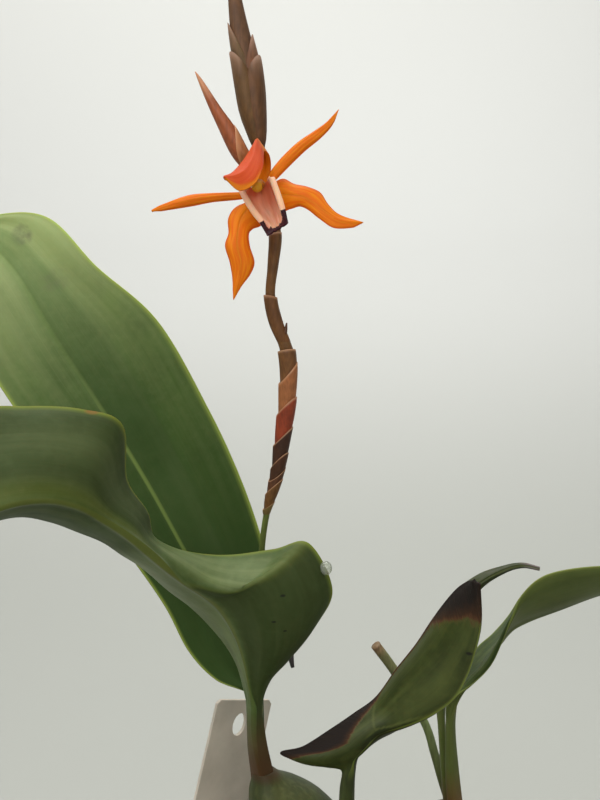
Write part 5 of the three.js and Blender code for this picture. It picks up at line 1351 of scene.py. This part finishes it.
class ORCHID_OT_pot(bpy.types.Operator):
    """Make the nursery pot"""

    bl_idname = "orchid.pot"
    bl_label = "Pot"

    def execute(self, context):
        shoulder = POT_HEIGHT - POT_RIM_DEEP
        lip = POT_RIM_R - POT_WALL
        outside = [
            (0, 0),
            (POT_FOOT_R, 0),
            (pot_wall(shoulder), shoulder),
            (POT_RIM_R - POT_RIM_TAPER, shoulder),
            (POT_RIM_R, POT_HEIGHT),
            (lip - POT_RIM_TAPER, POT_HEIGHT),
            (lip - 1, POT_HEIGHT - POT_LIP_DROP),
            (pot_wall(POT_FLOOR) - POT_WALL, POT_FLOOR),
            (0, POT_FLOOR),
        ]
        profile = [p for p in rounded(outside, POT_ROUND) if p[0] > 0]
        sides = context.scene.orchid_sizes.pot_sides
        points, faces = lofted(turned(profile, sides))
        piece = mesh_piece("nursery_pot", points, faces)
        self.drill(piece)
        material = pot_plastic("Moulded polypropylene", tuple(context.scene.orchid_colours.pot))
        finish_piece(piece, material, "pot", "pot")
        soften(piece, 35)
        return {"FINISHED"}

    def drill(self, piece):
        """Cuts the ring of drain holes."""
        sealed(piece)
        parts = []
        for k in range(DRAIN_COUNT):
            turn = 2 * math.pi * (k + 0.5) / DRAIN_COUNT
            x, y = DRAIN_RING_R * math.cos(turn), DRAIN_RING_R * math.sin(turn)
            rings = turned([(DRAIN_R, -2), (DRAIN_R, POT_FLOOR + 2)], DRAIN_SIDES)
            parts.append((*lofted(rings + np.array((x * MM, y * MM, 0))), {}))
        cutter = mesh_piece("drain_cutter", *joined(parts))
        sealed(cutter)
        cut = piece.modifiers.new("Drain holes", "BOOLEAN")
        cut.object = cutter
        cut.operation = "DIFFERENCE"
        cut.solver = "EXACT"
        with bpy.context.temp_override(object=piece, active_object=piece, selected_objects=[piece]):
            bpy.ops.object.modifier_apply(modifier=cut.name)
        bpy.data.objects.remove(cutter)


class ORCHID_OT_medium(bpy.types.Operator):
    """Fill the pot with bark"""

    bl_idname = "orchid.medium"
    bl_label = "Growing medium"

    def execute(self, context):
        sizes = context.scene.orchid_sizes
        inner = pot_wall(MEDIUM_TOP) - POT_WALL - MEDIUM_GAP
        foot = pot_wall(POT_FLOOR) - POT_WALL - MEDIUM_GAP
        rings = [(foot - 2, POT_FLOOR + 0.3), (foot, POT_FLOOR + 2)]
        for s in np.linspace(1, 0.04, 26):
            rings.append((inner * s, MEDIUM_TOP - 1.5 + MEDIUM_SWELL * (1 - s * s)))
        points, faces = lofted(turned(rings, MEDIUM_SIDES))
        roll = random.Random(CHIP_SEED)
        bumps = np.array([roll.uniform(-1, 1) for _ in points])
        top = points[:, 2] > (MEDIUM_TOP - 3) * MM
        points[:, 2] += top * bumps * 0.5 * MM
        parts = [(points, faces, {"tone": np.full(len(points), -0.15)})]
        golden = math.pi * (3 - math.sqrt(5))
        for k in range(sizes.chip_count):
            radius = (inner - CHIP_MARGIN) * math.sqrt((k + 0.5) / sizes.chip_count)
            turn = k * golden + 0.5 * roll.random()
            length = sizes.chip_size * (0.45 + 0.55 * roll.random())
            size = (length, length * (0.45 + 0.3 * roll.random()), length * (0.22 + 0.16 * roll.random()))
            swell = MEDIUM_SWELL * (1 - (radius / inner) ** 2)
            height = MEDIUM_TOP + swell - CHIP_SINK + CHIP_HEAP * roll.random()
            where = Vector((radius * math.cos(turn), radius * math.sin(turn), height)) * MM
            parts.append(bark_chip(roll, where, size))
        piece = joined_piece("bark_medium", parts, bark_skin("Fir bark"), "bark", "growing_medium")
        soften(piece, 25)
        return {"FINISHED"}


class ORCHID_OT_rhizome(bpy.types.Operator):
    """Make the creeping stem and its roots"""

    bl_idname = "orchid.rhizome"
    bl_label = "Creeping stem"

    def execute(self, context):
        def joints(place):
            return 1 + 0.05 * np.maximum(0, np.cos(place * 2 * np.pi * RHIZOME_JOINTS)) ** 6

        parts = [rod_part(RHIZOME_KNOTS, 160, 28, swell=joints)]
        parts += [rod_part(knots, 40, 14) for knots in ROOTS]
        skin = root_skin("Fibrous root skin")
        joined_piece("creeping_stem", parts, skin, "rhizome", "rhizome_with_roots")
        return {"FINISHED"}


class ORCHID_OT_pseudobulbs(bpy.types.Operator):
    """Make the swollen stems"""

    bl_idname = "orchid.pseudobulbs"
    bl_label = "Swollen stems"

    def execute(self, context):
        skin = bulb_skin("Waxy olive skin")
        bulbs = {
            "front_left": BULB_FRONT_LEFT,
            "front_right": BULB_FRONT_RIGHT,
            "back_right": BULB_BACK_RIGHT,
        }
        for side, rows in bulbs.items():
            parts = [bulb_part(rows, 60, 64)]
            joined_piece("swollen_" + side, parts, skin, "pseudobulb", "pseudobulb_" + side)
        return {"FINISHED"}


class ORCHID_OT_leaves(bpy.types.Operator):
    """Make the five leaves"""

    bl_idname = "orchid.leaves"
    bl_label = "Leaves"

    def execute(self, context):
        for node, look in LEAVES.items():
            skin = leaf_skin("Leaf blade " + node.split("_")[1], **look["skin"])
            finish_piece(leaf_piece(node + "_blade", look), skin, look["slot"], node)
        return {"FINISHED"}


class ORCHID_OT_old_stalk(bpy.types.Operator):
    """Make the old cut leaf stalk"""

    bl_idname = "orchid.old_stalk"
    bl_label = "Old stalk"

    def execute(self, context):
        parts = [rod_part(OLD_STALK_KNOTS, 120, 24)]
        joined_piece("cut_stalk", parts, stalk_skin("Dry leaf stalk"), "old_stalk", "old_stalk")
        return {"FINISHED"}


class ORCHID_OT_flower_stem(bpy.types.Operator):
    """Make the flower stem and the scales that wrap it"""

    bl_idname = "orchid.flower_stem"
    bl_label = "Flower stem"

    def execute(self, context):
        count = len(STEM_TONES)
        parts = scaled_parts(STEM, 240, 36, STEM_SCALES, count)
        parts.append(rod_part(THORN_KNOTS, 12, 12, tone=tone_of(3, count)))
        parts.append(rod_part(DRY_SCALE_KNOTS, 30, 14, tone=tone_of(count - 1, count)))
        points, _, marks = parts[0]
        brown = points[:, 2] / MM > STEM_BROWN_FROM
        marks["tone"] = np.where(brown, tone_of(STEM_TOP_TONE, count), marks["tone"])
        skin = scale_skin("Papery stem scales", STEM_TONES, "#b98d66")
        joined_piece("scaled_flower_stem", parts, skin, "flower_stem", "flower_stem")
        return {"FINISHED"}


class ORCHID_OT_buds(bpy.types.Operator):
    """Make the resting bud spike and the closed bud beside it"""

    bl_idname = "orchid.buds"
    bl_label = "Buds"

    def execute(self, context):
        parts = scaled_parts(SPIKE, 90, 40, SPIKE_SCALES, len(SPIKE_TONES))
        look = {"roughness": 0.66, "rim_start": 0.72, "rim_share": 0.6}
        skin = scale_skin("Papery bud scales", SPIKE_TONES, "#a07a62", **look)
        joined_piece("spike_of_bud_scales", parts, skin, "bud_spike", "bud_spike")
        parts = scaled_parts(SIDE_BUD, 90, 36, [SIDE_BUD_SCALE], len(SIDE_BUD_TONES))
        # The bud pales towards its tip
        for points, _, marks in parts:
            marks["rim"] = np.maximum(marks["rim"], 0.99 * ease(points[:, 2] / MM, *SIDE_BUD_PALES))
        look = {"roughness": 0.5, "rim_start": 0.6, "rim_share": 0.6}
        skin = scale_skin("Bud skin", SIDE_BUD_TONES, "#e0a274", **look)
        joined_piece("closed_bud", parts, skin, "side_bud", "side_bud")
        return {"FINISHED"}


class ORCHID_OT_flower(bpy.types.Operator):
    """Make the open flower"""

    bl_idname = "orchid.flower"
    bl_label = "Flower"

    def execute(self, context):
        petal = petal_skin("Petal flesh", "#de6c08", "#eb9414", "#c8440c")
        for node, (stations, rows, half) in TEPALS.items():
            finish_piece(tepal_piece(node + "_blade", stations, rows, half), petal, "tepal", node)
        hood = petal_skin("Hood flesh", "#c8481c", "#cf5524", "#b43c1a", inner="#d8780e", glow=0.12)
        finish_piece(hood_piece("hood_sepal"), hood, "hood", "dorsal_sepal")
        finish_piece(lip_piece("lip_trough"), lip_skin("Lip flesh"), "lip", "lip")
        skin = column_skin("Waxy column")
        joined_piece("column_rod", [rod_part(COLUMN_KNOTS, 48, 28)], skin, "column", "column")
        skin = scale_skin("Flower stalk skin", ["#d08a58"], "#d08a58", roughness=0.5)
        joined_piece("pedicel_rod", [rod_part(PEDICEL_KNOTS, 24, 28)], skin, "pedicel", "pedicel")
        return {"FINISHED"}


class ORCHID_OT_label(bpy.types.Operator):
    """Finish the blank plant label"""

    bl_idname = "orchid.label"
    bl_label = "Label"

    def execute(self, context):
        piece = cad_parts["label"]
        piece.data.materials.clear()
        colour = tuple(context.scene.orchid_colours.label)
        piece.data.materials.append(label_plastic("Aged polystyrene", colour))
        edge = piece.modifiers.new("Worn edges", "BEVEL")
        edge.width = 0.12 * MM
        edge.segments = 2
        edge.limit_method = "ANGLE"
        return {"FINISHED"}


class ORCHID_OT_drop(bpy.types.Operator):
    """Hang a water drop on the front leaf's margin"""

    bl_idname = "orchid.drop"
    bl_label = "Water drop"

    def execute(self, context):
        size = context.scene.orchid_sizes.drop_size
        shape = bmesh.new()
        bmesh.ops.create_icosphere(shape, subdivisions=4, radius=size / 2)
        bmesh.ops.scale(shape, vec=DROP_STRETCH, verts=shape.verts)
        bmesh.ops.translate(shape, vec=Vector(DROP_PLACE) * MM, verts=shape.verts)
        points = [v.co[:] for v in shape.verts]
        faces = [[v.index for v in face.verts] for face in shape.faces]
        shape.free()
        # Clear water with a grey-green body colour, a painted reflection of the leaf around it, so it shows
        # against the pale wall
        clear = {"IOR": 1.33, "Transmission_Weight": 0.72, "Base_Color": linear("#cfd4c6")}
        water = finish("Clear water", 0.04, **clear)[0]
        finish_piece(mesh_piece("water_drop", points, faces), water, "leaf_folded")
        return {"FINISHED"}


class ORCHID_OT_stage(bpy.types.Operator):
    """Set the floor, backdrop, lights and camera"""

    bl_idname = "orchid.stage"
    bl_label = "Stage"

    def execute(self, context):
        self.backdrop(context)
        self.lights(context)
        camera = bpy.data.cameras.new("Camera")
        camera.lens = CAMERA_LENS
        camera.sensor_width = CAMERA_SENSOR
        camera.clip_start = CAMERA_NEAR * MM
        holder = bpy.data.objects.new("Camera", camera)
        holder.location = Vector(CAMERA_PLACE) * MM
        holder.rotation_euler = (math.radians(90), 0, 0)
        context.scene.collection.objects.link(holder)
        context.scene.camera = holder
        return {"FINISHED"}

    def backdrop(self, context):
        """A round pale sweep: a flat floor that bends up into a wall, so every side sees the same."""
        line = [(0.1, 0), (STAGE_R - BEND_R, 0)]
        for k in range(1, BEND_STEPS + 1):
            turn = math.pi / 2 * k / BEND_STEPS
            line.append((STAGE_R - BEND_R + BEND_R * math.sin(turn), BEND_R * (1 - math.cos(turn))))
        line.append((STAGE_R, WALL_HIGH))
        rings = turned(line, STAGE_SIDES) + np.array((0, WALL_BACK - STAGE_R, 0)) * MM
        faces = ring_faces(len(line), STAGE_SIDES) + [tuple(range(STAGE_SIDES))]
        piece = mesh_piece("backdrop", rings.reshape(-1, 3), faces)
        # Quite matt paper, with painted shade: a darker sweep from the bend down to the floor
        material, tree, shader = finish("Matt backdrop", 0.95)
        place = add(tree, "TexCoord", out=3)
        height = add(tree, "SeparateXYZ", {"Vector": place}, out=2)
        reach = {"From Min": SWEEP_LOW * MM, "From Max": SWEEP_HIGH * MM}
        share = add(tree, "MapRange", {"Value": height, **reach}, interpolation_type="SMOOTHSTEP")
        colours = context.scene.orchid_colours
        ends = {MIX_A: (*colours.floor, 1.0), MIX_B: (*colours.backdrop, 1.0)}
        sweep = add(tree, "Mix", {0: share, **ends}, out=MIX_RESULT, data_type="RGBA")
        tree.links.new(sweep, shader.inputs["Base Color"])
        piece.data.materials.append(material)

    def lights(self, context):
        """Large soft lamps, and an even glow from all round."""
        for name, place, aim, size, power, colour in LAMPS:
            lamp = bpy.data.lights.new(name, "AREA")
            lamp.size = size * MM
            lamp.energy = power
            lamp.color = linear(colour)[:3]
            holder = bpy.data.objects.new(name, lamp)
            holder.location = Vector(place) * MM
            holder.rotation_euler = (Vector(aim) - Vector(place)).to_track_quat("-Z", "Y").to_euler()
            holder.visible_camera = False
            context.scene.collection.objects.link(holder)
        world = bpy.data.worlds.new("Room")
        world.use_nodes = True
        glow = world.node_tree.nodes["Background"]
        glow.inputs["Color"].default_value = linear("#dfe3e2")
        glow.inputs["Strength"].default_value = WORLD_STRENGTH
        context.scene.world = world
        context.scene.view_settings.view_transform = "Standard"


# Every operator, in the order that main calls them
STEPS = (
    "stage", "pot", "medium", "rhizome", "pseudobulbs", "leaves",
    "old_stalk", "flower_stem", "buds", "flower", "label", "drop",
)


class ORCHID_PT_panel(bpy.types.Panel):
    """Sizes, colours and the pieces in order"""

    bl_idname = "ORCHID_PT_panel"
    bl_label = "Potted Orchid"
    bl_space_type = "VIEW_3D"
    bl_region_type = "UI"
    bl_category = "Orchid"

    def draw(self, context):
        for group in (context.scene.orchid_sizes, context.scene.orchid_colours):
            for name in group.bl_rna.properties.keys():
                if name not in ("rna_type", "name"):
                    self.layout.prop(group, name)
        for step in STEPS:
            self.layout.operator("orchid." + step)


CLASSES = (
    OrchidSizes,
    OrchidColours,
    ORCHID_OT_pot,
    ORCHID_OT_medium,
    ORCHID_OT_rhizome,
    ORCHID_OT_pseudobulbs,
    ORCHID_OT_leaves,
    ORCHID_OT_old_stalk,
    ORCHID_OT_flower_stem,
    ORCHID_OT_buds,
    ORCHID_OT_flower,
    ORCHID_OT_label,
    ORCHID_OT_drop,
    ORCHID_OT_stage,
    ORCHID_PT_panel,
)


def register():
    for one in CLASSES:
        bpy.utils.register_class(one)
    bpy.types.Scene.orchid_sizes = PointerProperty(type=OrchidSizes)
    bpy.types.Scene.orchid_colours = PointerProperty(type=OrchidColours)


def unregister():
    del bpy.types.Scene.orchid_sizes
    del bpy.types.Scene.orchid_colours
    for one in reversed(CLASSES):
        bpy.utils.unregister_class(one)


def main():
    register()
    for step in STEPS:
        if getattr(bpy.ops.orchid, step)() != {"FINISHED"}:
            raise RuntimeError("could not finish " + step)


if __name__ == "__main__":
    main()
